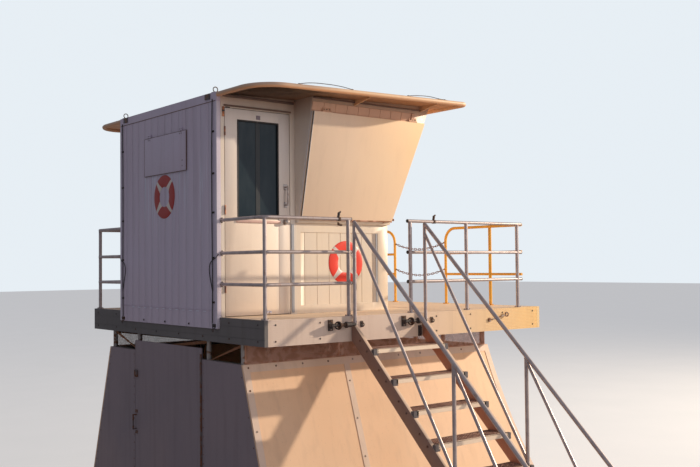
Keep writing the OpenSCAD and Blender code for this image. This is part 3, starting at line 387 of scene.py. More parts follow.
screw_rust = rusted("screw_iron", rgb(0.34, 0.26, 0.22), rgb(0.24, 0.12, 0.07), rgb(0.10, 0.06, 0.05),
                    0.5)
placements = []
for side in (-1, 1):
    for i in range(10):
        half = base_half_ground - base_lean * screw_band_z + 0.0053
        placements.append(facing((-1.865 + i * screw_spacing, side * half, screw_band_z),
                                 (0.0, side, base_lean)))
    for x in (-1.8875, -0.7025):
        for i in range(6):
            z = 0.16 + i * 0.36
            half = base_half_ground - base_lean * z + 0.0053
            placements.append(facing((x, side * half, z), (0.0, side, base_lean)))
fit(copies(bolt(0.010, 0.006), placements), "base_strip_screws", "tower", screw_rust, "rusty_steel")

placements = []
for i in range(24):
    for y in (-0.712, 0.822):
        placements.append(facing((base_back_x, y, 0.10 + i * 0.089), (-1.0, 0.0, 0.0)))
    z = 0.12 + i * 0.089
    for side in (-1, 1):
        placements.append(facing((base_back_x, side * (base_half_ground - base_lean * z - 0.048), z),
                                 (-1.0, 0.0, 0.0)))
fit(copies(bolt(0.007, 0.004), placements), "base_back_rivets", "tower", screw_rust, "rusty_steel")

# ---------------------------------------------------------------- base door
# The wide leaf in the base's back swings on one long hinge at its near edge. Its handle and latch
# are rusty iron, bolted through.


def block(low, high, ease=0.002, steps=1):
    """A sawn or pressed block between two corners, with its edges eased."""
    bpy.ops.object.select_all(action="DESELECT")
    bpy.ops.mesh.primitive_cube_add(size=1.0)
    made = bpy.context.object
    made.location = [(a + b) / 2 for a, b in zip(low, high)]
    made.scale = [b - a for a, b in zip(low, high)]
    set_place()
    return eased(made, ease, steps) if ease else made


def eased(obj, width, steps=2):
    """Rounds the sharp edges of a piece."""
    alone(obj)
    bevel = obj.modifiers.new("eased", "BEVEL")
    bevel.width = width
    bevel.segments = steps
    bevel.limit_method = "ANGLE"
    bevel.angle_limit = 0.6
    bpy.ops.object.modifier_apply(modifier=bevel.name)
    bpy.ops.object.shade_smooth_by_angle(angle=0.7)
    return obj


def rod(start, end, radius, sides=12):
    """A round rod between two points, with eased ends."""
    start, end = Vector(start), Vector(end)
    run = end - start
    bpy.ops.object.select_all(action="DESELECT")
    bpy.ops.mesh.primitive_cylinder_add(vertices=sides, radius=radius, depth=run.length)
    made = bpy.context.object
    turn = run.to_track_quat("Z", "Y").to_matrix().to_4x4()
    made.matrix_world = Matrix.Translation((start + end) / 2) @ turn
    set_place()
    return eased(made, min(radius, run.length) * 0.22, 1)


base_iron = rusted("base_door_iron", rgb(0.14, 0.11, 0.11), rgb(0.24, 0.10, 0.05), rgb(0.10, 0.05, 0.04),
                   0.55)
wear(["base_door_fittings"], base_iron)
placements = [facing((base_back_x - 0.018, 0.793 - 0.034, z), (-1.0, 0.0, 0.0)) for z in (1.915, 1.960)]
for z in (1.29, 1.52):
    for y in (-0.018, 0.018):
        placements.append(facing((base_back_x, 0.763 + y, z), (-1.0, 0.0, 0.0)))
for i in range(9):
    placements.append(facing((base_back_x - 0.0033, -0.664, 0.16 + i * 0.248), (-1.0, 0.0, 0.0)))
door_bolts = copies(bolt(0.0065, 0.006), placements)
fit(door_bolts, "base_door_bolts", "base_door", base_iron, "rusty_steel")
plates = []
for z in (1.29, 1.52):
    plates.append(block((base_back_x - 0.004, 0.735, z - 0.018), (base_back_x, 0.791, z + 0.018), 0.0015))
fit(joined(plates), "base_handle_plates", "base_door", base_iron, "rusty_steel")

# ---------------------------------------------------------------- gap screens
# Expanded-metal screens, rusted brown, close the gap between base and deck along both long sides. They
# are tacked to the round posts and framed in flat bar; the back of the gap stays open.
screen_y = 1.4235
screen_x0 = -1.885
screen_x1 = 1.355
screen_z0 = 2.1965
screen_z1 = 2.3835
screen_iron = rusted("screen_iron", rgb(0.60, 0.35, 0.27), rgb(0.54, 0.29, 0.20), rgb(0.42, 0.22, 0.16),
                     0.5)
screen_tan = math.tan(math.radians(30.0))
screen_run = (screen_z1 - screen_z0) / screen_tan
strand = block((-0.5, -0.0009, -0.0026), (0.5, 0.0009, 0.0026), 0.0)
placements = []
for side in (-1, 1):
    for lean in (-1, 1):
        start = screen_x0 - screen_run
        while start < screen_x1:
            start += 0.024
            left = max(start, screen_x0)
            right = min(start + screen_run, screen_x1)
            if right - left > 0.012:
                low = screen_z0 + (left - start) * screen_tan
                high = screen_z0 + (right - start) * screen_tan
                if lean < 0:
                    low, high = screen_z0 + screen_z1 - low, screen_z0 + screen_z1 - high
                run = Vector((right - left, 0.0, high - low))
                middle = Vector(((left + right) / 2, side * (screen_y + lean * 0.0009), (low + high) / 2))
                placements.append(Matrix.Translation(middle) @ Matrix.Rotation(-math.atan2(run.z, run.x),
                                                                               4, "Y")
                                  @ Matrix.Scale(run.length, 4, (1.0, 0.0, 0.0)))
fit(copies(strand, placements), "gap_screen_strands", "tower", screen_iron, "rusty_steel")
frames = []
for side in (-1, 1):
    near, far = sorted((side * (screen_y - 0.002), side * (screen_y + 0.003)))
    frames.append(block((screen_x0, near, screen_z0), (screen_x1, far, screen_z0 + 0.010), 0.001))
    frames.append(block((screen_x0, near, screen_z1 - 0.010), (screen_x1, far, screen_z1), 0.001))
    for x in (screen_x0, -0.775, 0.290, screen_x1 - 0.016):
        frames.append(block((x, near, screen_z0 + 0.010), (x + 0.016, far, screen_z1 - 0.010), 0.001))
fit(joined(frames), "gap_screen_frames", "tower", screen_iron, "rusty_steel")

# ---------------------------------------------------------------- deck
# Timber beams and joists under sheets of painted plywood. The fascia boards are ribbed composite:
# fine level ribs on the stair side, a dark board with one line along the back.
deck_top = 2.625
deck_low = 2.385
deck_back = -1.9425
deck_sea = 1.8175
deck_half = 1.85
rib_pitch = 0.0165


def solid_copy(node):
    """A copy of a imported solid, its triangles merged back to flat faces."""
    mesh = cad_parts[node].data.copy()
    copy = bpy.data.objects.new(node + "_copy", mesh)
    bpy.context.scene.collection.objects.link(copy)
    alone(copy)
    bpy.ops.object.mode_set(mode="EDIT")
    bpy.ops.mesh.select_all(action="SELECT")
    bpy.ops.mesh.remove_doubles(threshold=0.00005)
    bpy.ops.mesh.dissolve_limited(angle_limit=0.01)
    bpy.ops.object.mode_set(mode="OBJECT")
    return copy


def scored(obj, axis, places, width, depth, normals, keep=None):
    """Cuts grooves of that width and depth across the faces that look along the normals."""
    alone(obj)
    bpy.ops.object.mode_set(mode="EDIT")
    across = Vector([1.0 if i == axis else 0.0 for i in range(3)])
    for place in places:
        for edge in (place - width / 2, place + width / 2):
            bpy.ops.mesh.select_all(action="SELECT")
            bpy.ops.mesh.bisect(plane_co=across * edge, plane_no=across)
    for normal in normals:
        def in_groove(facing_to, middle):
            return (facing_to.dot(Vector(normal)) > 0.98
                    and any(abs(middle[axis] - place) < width * 0.45 for place in places)
                    and (keep is None or keep(middle)))
        pick(obj, in_groove)
        bpy.ops.mesh.extrude_region_move(TRANSFORM_OT_translate={"value": Vector(normal) * -depth})
    bpy.ops.object.mode_set(mode="OBJECT")
    return obj


wear(["deck_joists"], weather(Finish("joist_wood"), rgb(0.24, 0.17, 0.12), rgb(0.30, 0.21, 0.15),
                              rgb(0.12, 0.08, 0.06), 0.8, runs=0.1))
deck_paint = weather(Finish("deck_sand_paint"), rgb(0.92, 0.72, 0.52), rgb(0.84, 0.66, 0.50),
                     rgb(0.45, 0.32, 0.24), 0.75, runs=0.1, specks=0.9, grain=0.0012)
sheets = solid_copy("deck_floor")
scored(sheets, 0, [-0.72, 0.50], 0.004, 0.003, [(0, 0, 1)], lambda middle: middle.z > deck_top - 0.001)
scored(sheets, 1, [-1.22, 0.0, 1.22], 0.004, 0.003, [(0, 0, 1)],
       lambda middle: middle.z > deck_top - 0.001)
fit(sheets, "deck_sheets", "tower", deck_paint, "deck_wood", "deck_floor")
placements = []
for x in (-1.86, -0.76, -0.68, 0.46, 0.54, 1.74):
    for i in range(13):
        y = -1.74 + i * 0.29
        if x > -0.9 or abs(y) > 1.2:
            placements.append(facing((x, y, deck_top - 0.0012), (0.0, 0.0, 1.0)))
deck_screws = copies(bolt(0.0065, 0.0022), placements)
fit(deck_screws, "deck_screws", "tower", screw_rust, "rusty_steel")

side_board_paint = Finish("fascia_side_paint")
# The cream boards turn yellow-orange towards the sea end: painted glow of the low sun.
painted_sun_glow_fascia = side_board_paint.along("X").between(-0.4, 1.9)
fascia_cream_and_painted_glow = side_board_paint.mix(painted_sun_glow_fascia, rgb(0.76, 0.61, 0.52), rgb(0.90, 0.58, 0.22))
weather(side_board_paint, fascia_cream_and_painted_glow, fascia_cream_and_painted_glow, rgb(0.42, 0.28, 0.20), 0.55, runs=0.25)
side_boards = solid_copy("fascia_sides")
ribs = [deck_low + 0.012 + i * rib_pitch for i in range(14)]
scored(side_boards, 2, ribs, 0.004, 0.0022, [(0, -1, 0), (0, 1, 0)], lambda middle: abs(middle.y) > 1.849)
fit(side_boards, "fascia_side_boards", "tower", side_board_paint, "cream_paint", "fascia_sides")

end_board_paint = Finish("fascia_end_paint")
# The sea end's yellow-orange is cream paint with the painted glow of the low sun, as on the near boards'
# sea end; the back end is dark paint.
sea_end = end_board_paint.along("X").between(-0.1, 0.1)
end_tone = end_board_paint.mix(sea_end, rgb(0.135, 0.125, 0.125), rgb(0.88, 0.60, 0.28))
weather(end_board_paint, end_tone, end_board_paint.mix(sea_end, rgb(0.17, 0.155, 0.155),
                                                       rgb(0.84, 0.60, 0.32)),
        rgb(0.10, 0.08, 0.07), 0.6, runs=0.35)
end_boards = solid_copy("fascia_ends")
scored(end_boards, 2, ribs, 0.004, 0.0022, [(1, 0, 0)], lambda middle: middle.x > 1.8)
scored(end_boards, 2, [deck_top - 0.075, deck_low + 0.062], 0.005, 0.003, [(-1, 0, 0)],
       lambda middle: middle.x < -1.94)
fit(end_boards, "fascia_end_boards", "tower", end_board_paint, "dark_paint", "fascia_ends")

dark_iron = rusted("dark_iron", rgb(0.055, 0.045, 0.045), rgb(0.16, 0.08, 0.05), rgb(0.06, 0.04, 0.03),
                   0.35)
placements = []
for z in (deck_low + 0.045, deck_top - 0.045):
    for i in range(8):
        x = deck_back + 0.12 + i * 0.503
        placements.append(facing((x, deck_half, z), (0.0, 1.0, 0.0)))
        if not -1.0 < x < 0.06:
            placements.append(facing((x, -deck_half, z), (0.0, -1.0, 0.0)))
    for i in range(8):
        y = -1.74 + i * 0.497
        placements.append(facing((deck_sea, y, z), (1.0, 0.0, 0.0)))
        if z < 2.5 or abs(y) > 1.2:
            placements.append(facing((deck_back, y, z), (-1.0, 0.0, 0.0)))
fit(copies(bolt(0.009, 0.006), placements), "fascia_bolts", "tower", dark_iron, "rusty_steel")


def ring(place, normal, radius, wire, sides=20):
    """A ring of round wire, its flat side along normal."""
    bpy.ops.object.select_all(action="DESELECT")
    bpy.ops.mesh.primitive_torus_add(major_radius=radius, minor_radius=wire, major_segments=sides,
                                     minor_segments=8)
    made = bpy.context.object
    made.data.transform(facing(place, normal))
    bpy.ops.object.shade_smooth()
    return made


eye_steel = rusted("eye_steel", rgb(0.42, 0.34, 0.30), rgb(0.28, 0.12, 0.06), rgb(0.12, 0.06, 0.04), 0.4)
eye_rod = [
    rod((0.985, -deck_half, 2.506), (0.985, -deck_half - 0.012, 2.506), 0.024, 16),
    rod((0.985, -deck_half - 0.010, 2.506), (1.075, -deck_half - 0.018, 2.524), 0.006),
    rod((1.070, -deck_half - 0.018, 2.522), (1.215, -deck_half - 0.022, 2.552), 0.007),
    ring((1.243, -deck_half - 0.022, 2.558), (0.15, 1.0, 0.0), 0.021, 0.007),
]
fit(joined(eye_rod), "fascia_eye", "tower", eye_steel, "rusty_steel")
plate = block((-0.073, -deck_half - 0.012, 2.376 + 0.012), (-0.033, -deck_half, 2.498), 0.002)
cleat = [plate, rod((-0.053, -deck_half - 0.012, 2.42), (-0.053, -deck_half - 0.034, 2.42), 0.008),
         rod((-0.053, -deck_half - 0.012, 2.47), (-0.053, -deck_half - 0.034, 2.47), 0.008),
         rod((-0.053, -deck_half - 0.030, 2.405), (-0.053, -deck_half - 0.030, 2.485), 0.006)]
for x in (-0.818, 0.118):
    cleat.append(block((x - 0.016, -deck_half - 0.010, 2.515), (x + 0.016, -deck_half, 2.575), 0.002))
    cleat.append(ring((x, -deck_half - 0.020, 2.540), (1.0, 0.2, 0.0), 0.017, 0.005))
fit(joined(cleat), "fascia_cleats", "tower", dark_iron, "rusty_steel")

# ---------------------------------------------------------------- cabin walls
# Moulded panels over a frame. The back wall is faced with upright boards and hangs over the deck's
# edge; the near wall has a recess of boards under the flare, and a strip of trim at its corner.
cabin_back = -1.9675
cabin_half = 1.07
flare_rear = -1.0425
flare_z = 3.555
flare_foot = 1.105
flare_slope = 0.261 / 1.19
flare_front_foot = 0.2075
flare_front_slope = 0.320 / 1.19
board_pitch = 0.1525

cabin_paint = Finish("cabin_wall_paint")
# Painted light: the walls turn brown just under the roof for the shade and warm bounce light there;
# seaward of the flare's rear edge the cream is warmer, painted low sun, and on the recessed door wall
# cooler, painted shade.
soffit_shade = cabin_paint.along("Z").between(4.60, 4.80)
painted_sun_seaward = cabin_paint.along("X").between(-1.04, -1.02)
cabin_cream_and_painted_light = cabin_paint.mix(painted_sun_seaward, rgb(0.84, 0.76, 0.69), rgb(0.86, 0.73, 0.58))
cabin_cream_and_painted_light = cabin_paint.mix(soffit_shade * 0.75, cabin_cream_and_painted_light, rgb(0.55, 0.33, 0.22))
weather(cabin_paint, cabin_cream_and_painted_light, cabin_paint.mix(soffit_shade * 0.75, rgb(0.80, 0.70, 0.60),
                                                  rgb(0.50, 0.30, 0.20)),
        rgb(0.45, 0.33, 0.26), 0.45, runs=0.2, specks=0.25)
wear(["door_jambs"], cabin_paint)

back_paint = Finish("cabin_back_paint")
# The back wall's lilac-grey is the cabin's cream painted as it looks in shade: painted shade, a little
# darker towards the bottom, with paler streaks running down under the hatch and near the stair-side
# corner.
low_wall = back_paint.along("Z").between(3.2, 2.6)
under_hatch = (back_paint.along("Z").between(3.35, 4.05) * back_paint.along("Z").between(4.11, 4.08)
               * back_paint.along("Y").between(-0.62, -0.44) * back_paint.along("Y").between(0.56, 0.44))
corner_runs = back_paint.along("Y").between(-0.66, -0.78) * back_paint.along("Y").between(-1.0, -0.86)
corner_runs = corner_runs * back_paint.along("Z").between(3.3, 3.7) * back_paint.along("Z").between(4.4,
                                                                                                    4.0)
thin_runs = back_paint.noise(34.0, 2.0, (1.0, 1.0, 30.0)).between(0.50, 0.62)
painted_shade_lilac = back_paint.mix(low_wall, rgb(0.62, 0.54, 0.67), rgb(0.60, 0.50, 0.60))
painted_shade_lilac_and_runs = back_paint.mix((under_hatch + corner_runs) * thin_runs * 0.75, painted_shade_lilac, rgb(0.74, 0.80, 0.95))
weather(back_paint, painted_shade_lilac_and_runs, back_paint.mix(0.5, painted_shade_lilac_and_runs, rgb(0.60, 0.54, 0.68)),
        rgb(0.36, 0.27, 0.33), 0.5, runs=0.3, specks=0.25)

back_boards = solid_copy("wall_back")
eased(back_boards, 0.003, 2)
scored(back_boards, 1, [i * board_pitch for i in range(-6, 7)], 0.005, 0.002, [(-1, 0, 0)],
       lambda middle: middle.x < cabin_back + 0.001)
fit(back_boards, "back_boards", "tower", back_paint, "cabin_shell", "wall_back")
band = solid_copy("roof_band")
fit(eased(band, 0.0012, 1), "back_band", "tower", back_paint, "cabin_shell", "roof_band")
hatch = solid_copy("back_hatch")
fit(eased(hatch, 0.0025, 2), "hatch_leaf", "tower", back_paint, "cabin_shell", "back_hatch")

# Dark brown paint for real strips, also used for strips of painted shadow.
brown_strip_and_shadow_finish = weather(Finish("brown_strip_and_painted_shadow"), rgb(0.17, 0.10, 0.08), rgb(0.22, 0.14, 0.11),
                     rgb(0.08, 0.05, 0.04), 0.6)
# The first strip, under the back band, is painted shadow for the gap below the band; the other four
# outline the hatch's joint.
strips = [
    block((cabin_back - 0.004, -cabin_half + 0.02, 4.722), (cabin_back + 0.002, cabin_half - 0.02, 4.729),
          0.001),
    block((cabin_back - 0.0135, -0.48, 4.0945), (cabin_back - 0.002, 0.44, 4.0985), 0.0008),
    block((cabin_back - 0.0125, -0.4835, 4.10), (cabin_back - 0.002, -0.4800, 4.505), 0.0008),
    block((cabin_back - 0.0125, 0.4400, 4.10), (cabin_back - 0.002, 0.4435, 4.505), 0.0008),
    block((cabin_back - 0.0125, -0.48, 4.505), (cabin_back - 0.002, 0.44, 4.5085), 0.0008),
]
fit(joined(strips), "back_dark_strips", "tower", brown_strip_and_shadow_finish, "dark_paint")

hinge_iron = rusted("hinge_iron", rgb(0.30, 0.25, 0.30), rgb(0.20, 0.11, 0.10), rgb(0.08, 0.05, 0.06),
                    0.4)
pins = []
for y in (-0.3696, 0.3296):
    pins.append(rod((cabin_back - 0.010, y - 0.035, 4.507), (cabin_back - 0.010, y + 0.035, 4.507),
                    0.006))
fit(joined(pins), "hatch_hinge_pins", "tower", hinge_iron, "dark_paint")
placements = []
for y in (-0.3696, 0.3296):
    for dy in (-0.018, 0.018):
        placements.append(facing((cabin_back - 0.012, y + dy, 4.530), (-1.0, 0.0, 0.0)))
        placements.append(facing((cabin_back - 0.012, y + dy, 4.484), (-1.0, 0.0, 0.0)))
for z in (4.150, 4.205):
    placements.append(facing((cabin_back - 0.012, -0.405, z), (-1.0, 0.0, 0.0)))
fit(copies(bolt(0.0065, 0.004), placements), "hatch_screws", "tower", hinge_iron, "dark_paint")
placements = [facing((cabin_back, y, 2.545), (-1.0, 0.0, 0.0)) for y in (-0.513, 0.0, 0.486)]
fit(copies(bolt(0.012, 0.009), placements), "skirt_bolts", "tower", dark_iron, "rusty_steel")

flange = block((cabin_back - 0.006, -cabin_half + 0.006, 2.690),
               (cabin_back + 0.001, cabin_half - 0.006, 2.698), 0.0015)
fit(flange, "skirt_bead", "tower", back_paint, "cabin_shell")
slots_pale = []
for i in range(12):
    y = 0.74 - i * 0.143
    slots_pale.append(block((cabin_back - 0.004, y - 0.026, 2.674),
                            (cabin_back + 0.001, y + 0.026, 2.683), 0.0015))
pale_paint = weather(Finish("pale_clip_paint"), rgb(0.80, 0.80, 0.92), rgb(0.74, 0.74, 0.88),
                     rgb(0.4, 0.36, 0.42), 0.4)
fit(joined(slots_pale), "skirt_clips", "tower", pale_paint, "cream_paint")

corner_paint = weather(Finish("corner_trim_paint"), rgb(0.74, 0.70, 0.80), rgb(0.66, 0.60, 0.72),
                       rgb(0.36, 0.27, 0.30), 0.45, runs=0.5)
corner = []
for side in (-1, 1):
    ys = sorted((side * (cabin_half + 0.0015), side * (cabin_half - 0.03)))
    corner.append(block((cabin_back - 0.003, ys[0], 2.52), (cabin_back, ys[1], 4.72), 0.0012))
    ys = sorted((side * (cabin_half + 0.003), side * cabin_half))
    corner.append(block((cabin_back - 0.003, ys[0], 2.52), (cabin_back + 0.036, ys[1], 4.72), 0.0012))
fit(joined(corner), "back_corner_trim", "tower", corner_paint, "cabin_shell")

low_walls = solid_copy("walls_side_low")
scored(low_walls, 0, [-0.925, -0.764, -0.607, -0.453, -0.303, -0.164, -0.014], 0.006, 0.004,
       [(0, -1, 0), (0, 1, 0)], lambda middle: 1.060 < abs(middle.y) < 1.064)
fit(eased(low_walls, 0.0015, 1), "low_side_walls", "tower", cabin_paint, "cabin_shell", "walls_side_low")
for node, name in (("wall_front_low", "low_front_wall"), ("wall_over_door", "door_head_wall"),
                   ("wall_far_rear", "far_rear_wall"), ("flare_near", "near_flare"),
                   ("flare_far", "far_flare"),
                   ("flare_front", "sea_flare")):
    fit(eased(solid_copy(node), 0.003, 2), name, "tower", cabin_paint, "cabin_shell", node)

grey_strip = weather(Finish("grey_strip_paint"), rgb(0.42, 0.45, 0.50), rgb(0.36, 0.38, 0.44),
                     rgb(0.2, 0.16, 0.15), 0.5)
strips = []
for side in (-1, 1):
    ys = sorted((side * (cabin_half - 0.008), side * (cabin_half - 0.001)))
    strips.append(block((0.036, ys[0], 2.715), (0.0575, ys[1], 3.455), 0.0015))
    ys = sorted((side * (cabin_half + 0.001), side * (cabin_half + 0.007)))
    strips.append(block((-1.096, ys[0], 2.64), (-1.062, ys[1], 3.54), 0.002))
fit(joined(strips), "low_wall_strips", "tower", grey_strip, "dark_paint")

# ---------------------------------------------------------------- window shutters
# Closed shutters hang from hinge plates over the flare's leaning faces. A row of short boards
# covers the head above each, a seal and a bright strip run down the rear edge, a rusty lip the foot.
shutter_low_z = 3.595
shutter_high_z = 4.675
head_high_z = 4.768


def flare_side(z):
    """Half width over the flare's outer faces."""
    return flare_foot + flare_slope * (z - flare_z)


def flare_sea(z):
    """Place of the sea flare's outer face."""
    return flare_front_foot + flare_front_slope * (z - flare_z)


def leaning(across, out, z0, z1, side, ease=0.0015):
    """A block on a leaning face: across the face, out from it, between two heights.
    side is -1 or 1 for the near or far flare and 0 for the sea flare."""
    made = block((across[0], out[0], z0), (across[1], out[1], z1), ease)
    face = flare_sea if side == 0 else flare_side
    for vertex in made.data.vertices:
        x, depth, z = vertex.co
        reach = face(z) + depth
        vertex.co = (reach, x, z) if side == 0 else (x, side * reach, z)
    return outward(made)


def outward(obj):
    alone(obj)
    bpy.ops.object.mode_set(mode="EDIT")
    bpy.ops.mesh.select_all(action="SELECT")
    bpy.ops.mesh.normals_make_consistent(inside=False)
    bpy.ops.object.mode_set(mode="OBJECT")
    return obj


shutter_paint = Finish("shutter_paint")
# The shutters' cream turns orange towards the sea end and the top: painted glow of the low sun.
painted_low_sun_glow = shutter_paint.along("X").between(-0.5, 0.55) * shutter_paint.along("Z").between(3.3, 4.9)
shutter_cream_and_painted_glow = shutter_paint.mix(painted_low_sun_glow, rgb(0.90, 0.69, 0.52), rgb(0.94, 0.60, 0.26))
weather(shutter_paint, shutter_cream_and_painted_glow, shutter_paint.mix(0.35, shutter_cream_and_painted_glow, rgb(0.84, 0.66, 0.48)),
        rgb(0.50, 0.34, 0.24), 0.42, runs=0.12, specks=0.2, grain=0.0003)
for node, name in (("shutter_near", "near_shutter"), ("shutter_far", "far_shutter"),
                   ("shutter_front", "sea_shutter")):
    fit(eased(solid_copy(node), 0.005, 3), name, "tower", shutter_paint, "roof_shell", node)

head_paint = weather(Finish("shutter_head_paint"), rgb(0.72, 0.44, 0.30), rgb(0.66, 0.40, 0.28),
                     rgb(0.34, 0.18, 0.12), 0.5, runs=0.2)
boards = []
for side in (-1, 1):
    for i in range(9):
        x0 = -1.036 + i * 0.1495
        x1 = min(x0 + 0.1465, 0.42)
        boards.append(leaning((x0, x1), (0.0005, 0.0075), shutter_high_z + 0.003, head_high_z, side))
for i in range(18):
    y0 = -1.345 + i * 0.1495
    boards.append(leaning((y0, y0 + 0.1465), (0.0005, 0.0075), shutter_high_z + 0.003, head_high_z, 0))
fit(joined(boards), "shutter_head_boards", "tower", head_paint, "cream_paint")
wear(["shutter_hinges"], head_paint)

parts = []
for side in (-1, 1):
    for share in (0.12, 0.88):
        x = flare_rear + share * (flare_sea(4.675) - flare_rear)
        for dx in (-0.036, 0.0, 0.036):
            parts.append(facing((x + dx, side * (flare_side(4.70) + 0.0185), 4.700),
                                (0.0, side, 0.45)))
fit(copies(bolt(0.007, 0.004), parts), "shutter_hinge_bolts", "tower", dark_iron, "rusty_steel")

pins = []
for side in (-1, 1):
    y = side * (flare_side(4.678) + 0.026)
    for share in (0.12, 0.88):
        x = flare_rear + share * (flare_sea(4.675) - flare_rear)
        pins.append(rod((x - 0.06, y, 4.678), (x + 0.06, y, 4.678), 0.007))
    z = 4.700
    pins.append(leaning((0.300, 0.345), (0.0076, 0.022), 4.655, 4.765, side, 0.003))
fit(joined(pins), "shutter_hinge_pins", "tower", head_paint, "cream_paint")

black_rubber = Finish("black_rubber")
rubber_dust = black_rubber.noise(25.0, 4.0)
black_rubber.colour(black_rubber.mix(rubber_dust.between(0.45, 0.75), rgb(0.028, 0.026, 0.028),
                                     rgb(0.075, 0.066, 0.064)))
black_rubber.gloss(rubber_dust * 0.3 + 0.5).relief(rubber_dust, 0.0004)
seals = [leaning((-1.0300, -1.0205), (0.0295, 0.0365), 3.600, 4.670, side) for side in (-1, 1)]
fit(joined(seals), "shutter_rear_seals", "tower", black_rubber, "black_cable")
bright_strip = weather(Finish("bright_strip_metal", Metallic=0.5), rgb(0.78, 0.74, 0.74),
                       rgb(0.70, 0.66, 0.66),
                       rgb(0.35, 0.25, 0.22), 0.35, runs=0.1)
edges = [leaning((-1.0200, -1.0120), (0.0295, 0.0345), 3.600, 4.670, side) for side in (-1, 1)]
edges += [leaning((-1.0410, -1.0320), (-0.0005, 0.0200), 3.602, 4.672, side) for side in (-1, 1)]
fit(joined(edges), "shutter_rear_strips", "tower", bright_strip, "fitting_steel")

lip_paint = rusted("shutter_lip_paint", rgb(0.60, 0.34, 0.26), rgb(0.36, 0.17, 0.09),
                   rgb(0.18, 0.09, 0.05), 0.45)
lips = []
for side in (-1, 1):
    lips.append(leaning((-1.028, 0.195), (0.004, 0.034), shutter_low_z - 0.010, shutter_low_z + 0.001,
                        side, 0.003))
    for x in (-0.34, 0.10):
        lips.append(rod((x, side * (flare_side(3.585) + 0.018), 3.572),
                        (x, side * (flare_side(3.585) + 0.018), 3.590), 0.009))
    y = side * (flare_side(3.60) + 0.020)
    lips.append(rod((0.195, y, 3.605), (0.238, y, 3.611), 0.007))
    lips.append(ring((0.236, y, 3.611), (1.0, 0.0, 0.2), 0.010, 0.004, 12))
lips.append(leaning((-1.10, 1.10), (0.004, 0.034), shutter_low_z - 0.010, shutter_low_z + 0.001, 0,
                    0.003))
fit(joined(lips), "shutter_foot_lips", "tower", lip_paint, "rusty_steel")

# ---------------------------------------------------------------- lifebuoy plates
# A plain red lifebuoy is bolted to the back wall, and another in the near wall's recess: a crowned
# moulded ring with four pale bands. The back one's darker red is painted shade.
buoy_r = 0.168
buoy_band_r = 0.062


def buoy_paint(name, red, faded, across, centre):
    """Red moulding with pale bands on its diagonals."""
    finish = Finish(name)
    u = finish.along(across) - centre[0]
    v = finish.along("Z") - centre[1]
    band = (u * u - v * v).maths("ABSOLUTE").between(0.0085, 0.0070)
    wear_off = finish.noise(40.0, 5.0).between(0.62, 0.74)
    scuffed = finish.mix(wear_off * 0.4, red, faded)
    finish.colour(finish.mix(band, scuffed, rgb(0.74, 0.66, 0.62)))
    finish.gloss(wear_off * 0.2 + 0.42)
    return finish.relief(finish.noise(90.0, 3.0), 0.0003)


# The back buoy's red is darkened for painted shade; the near buoy's is the red as lit.
for name, place, normal, red, across in (
        ("back_lifebuoy", (cabin_back - 0.001, 0.005, 3.855), (-1.0, 0.0, 0.0), rgb(0.42, 0.035, 0.030),
         "Y"),
        ("near_lifebuoy", (-0.3825, -cabin_half + 0.007, 3.145), (0.0, -1.0, 0.0),
         rgb(0.90, 0.045, 0.020), "X")):
    bpy.ops.object.select_all(action="DESELECT")
    bpy.ops.mesh.primitive_torus_add(major_radius=buoy_r, minor_radius=buoy_band_r, major_segments=72,
                                     minor_segments=18)
    buoy = bpy.context.object
    bpy.ops.object.mode_set(mode="EDIT")
    bpy.ops.mesh.select_all(action="SELECT")
    bpy.ops.mesh.bisect(plane_co=(0.0, 0.0, 0.0), plane_no=(0.0, 0.0, 1.0), clear_inner=True,
                        use_fill=True)
    bpy.ops.object.mode_set(mode="OBJECT")
    buoy.data.transform(facing(place, normal) @ Matrix.Scale(0.11, 4, (0.0, 0.0, 1.0)))
    bpy.ops.object.shade_smooth_by_angle(angle=0.9)
    centre = (place[1], place[2]) if across == "Y" else (place[0], place[2])
    finish = buoy_paint(name + "_paint", red, rgb(0.50, 0.16, 0.12), across, centre)
    fit(buoy, name, "tower", finish, "yellow_paint")

# ---------------------------------------------------------------- roof
# A moulded plate with a rolled rim on gussets: pale on top, with painted shade on its rear rim and
# brown painted shade and warm bounce light below. Bent steel stays lie along its stair-side edge, and a
# drip strip hangs over the door.
roof_paint = Finish("roof_paint")
# Painted light: the underside is brown for shade and warm bounce light, and the rear rim darker for shade.
under = roof_paint.facing("Z").between(0.10, -0.60)
painted_shade_rear_rim = roof_paint.along("X").between(-0.9, -1.35)
roof_cream_and_painted_rim_shade = roof_paint.mix(painted_shade_rear_rim * 0.6, rgb(0.90, 0.62, 0.40), rgb(0.42, 0.28, 0.23))
roof_tone_and_painted_light = roof_paint.mix(under, roof_cream_and_painted_rim_shade, rgb(0.78, 0.40, 0.20))
weather(roof_paint, roof_tone_and_painted_light, roof_paint.mix(0.3, roof_tone_and_painted_light, rgb(0.70, 0.48, 0.34)),
        rgb(0.34, 0.20, 0.13),
        0.45, runs=0.15)
roof_copy = solid_copy("roof")
bpy.ops.object.shade_smooth_by_angle(angle=0.6)
fit(roof_copy, "roof_shell_moulding", "tower", roof_paint, "roof_shell", "roof")
gusset_paint = weather(Finish("gusset_paint"), rgb(0.80, 0.48, 0.26), rgb(0.74, 0.44, 0.24),
                       rgb(0.36, 0.18, 0.10), 0.5)
fit(eased(solid_copy("roof_gussets"), 0.002, 1), "roof_brackets", "tower", gusset_paint, "roof_shell",
    "roof_gussets")


def roof_top(x):
    """Height of the roof's top."""
    return 4.811 + (x + 1.9725) * 0.064 / 2.734


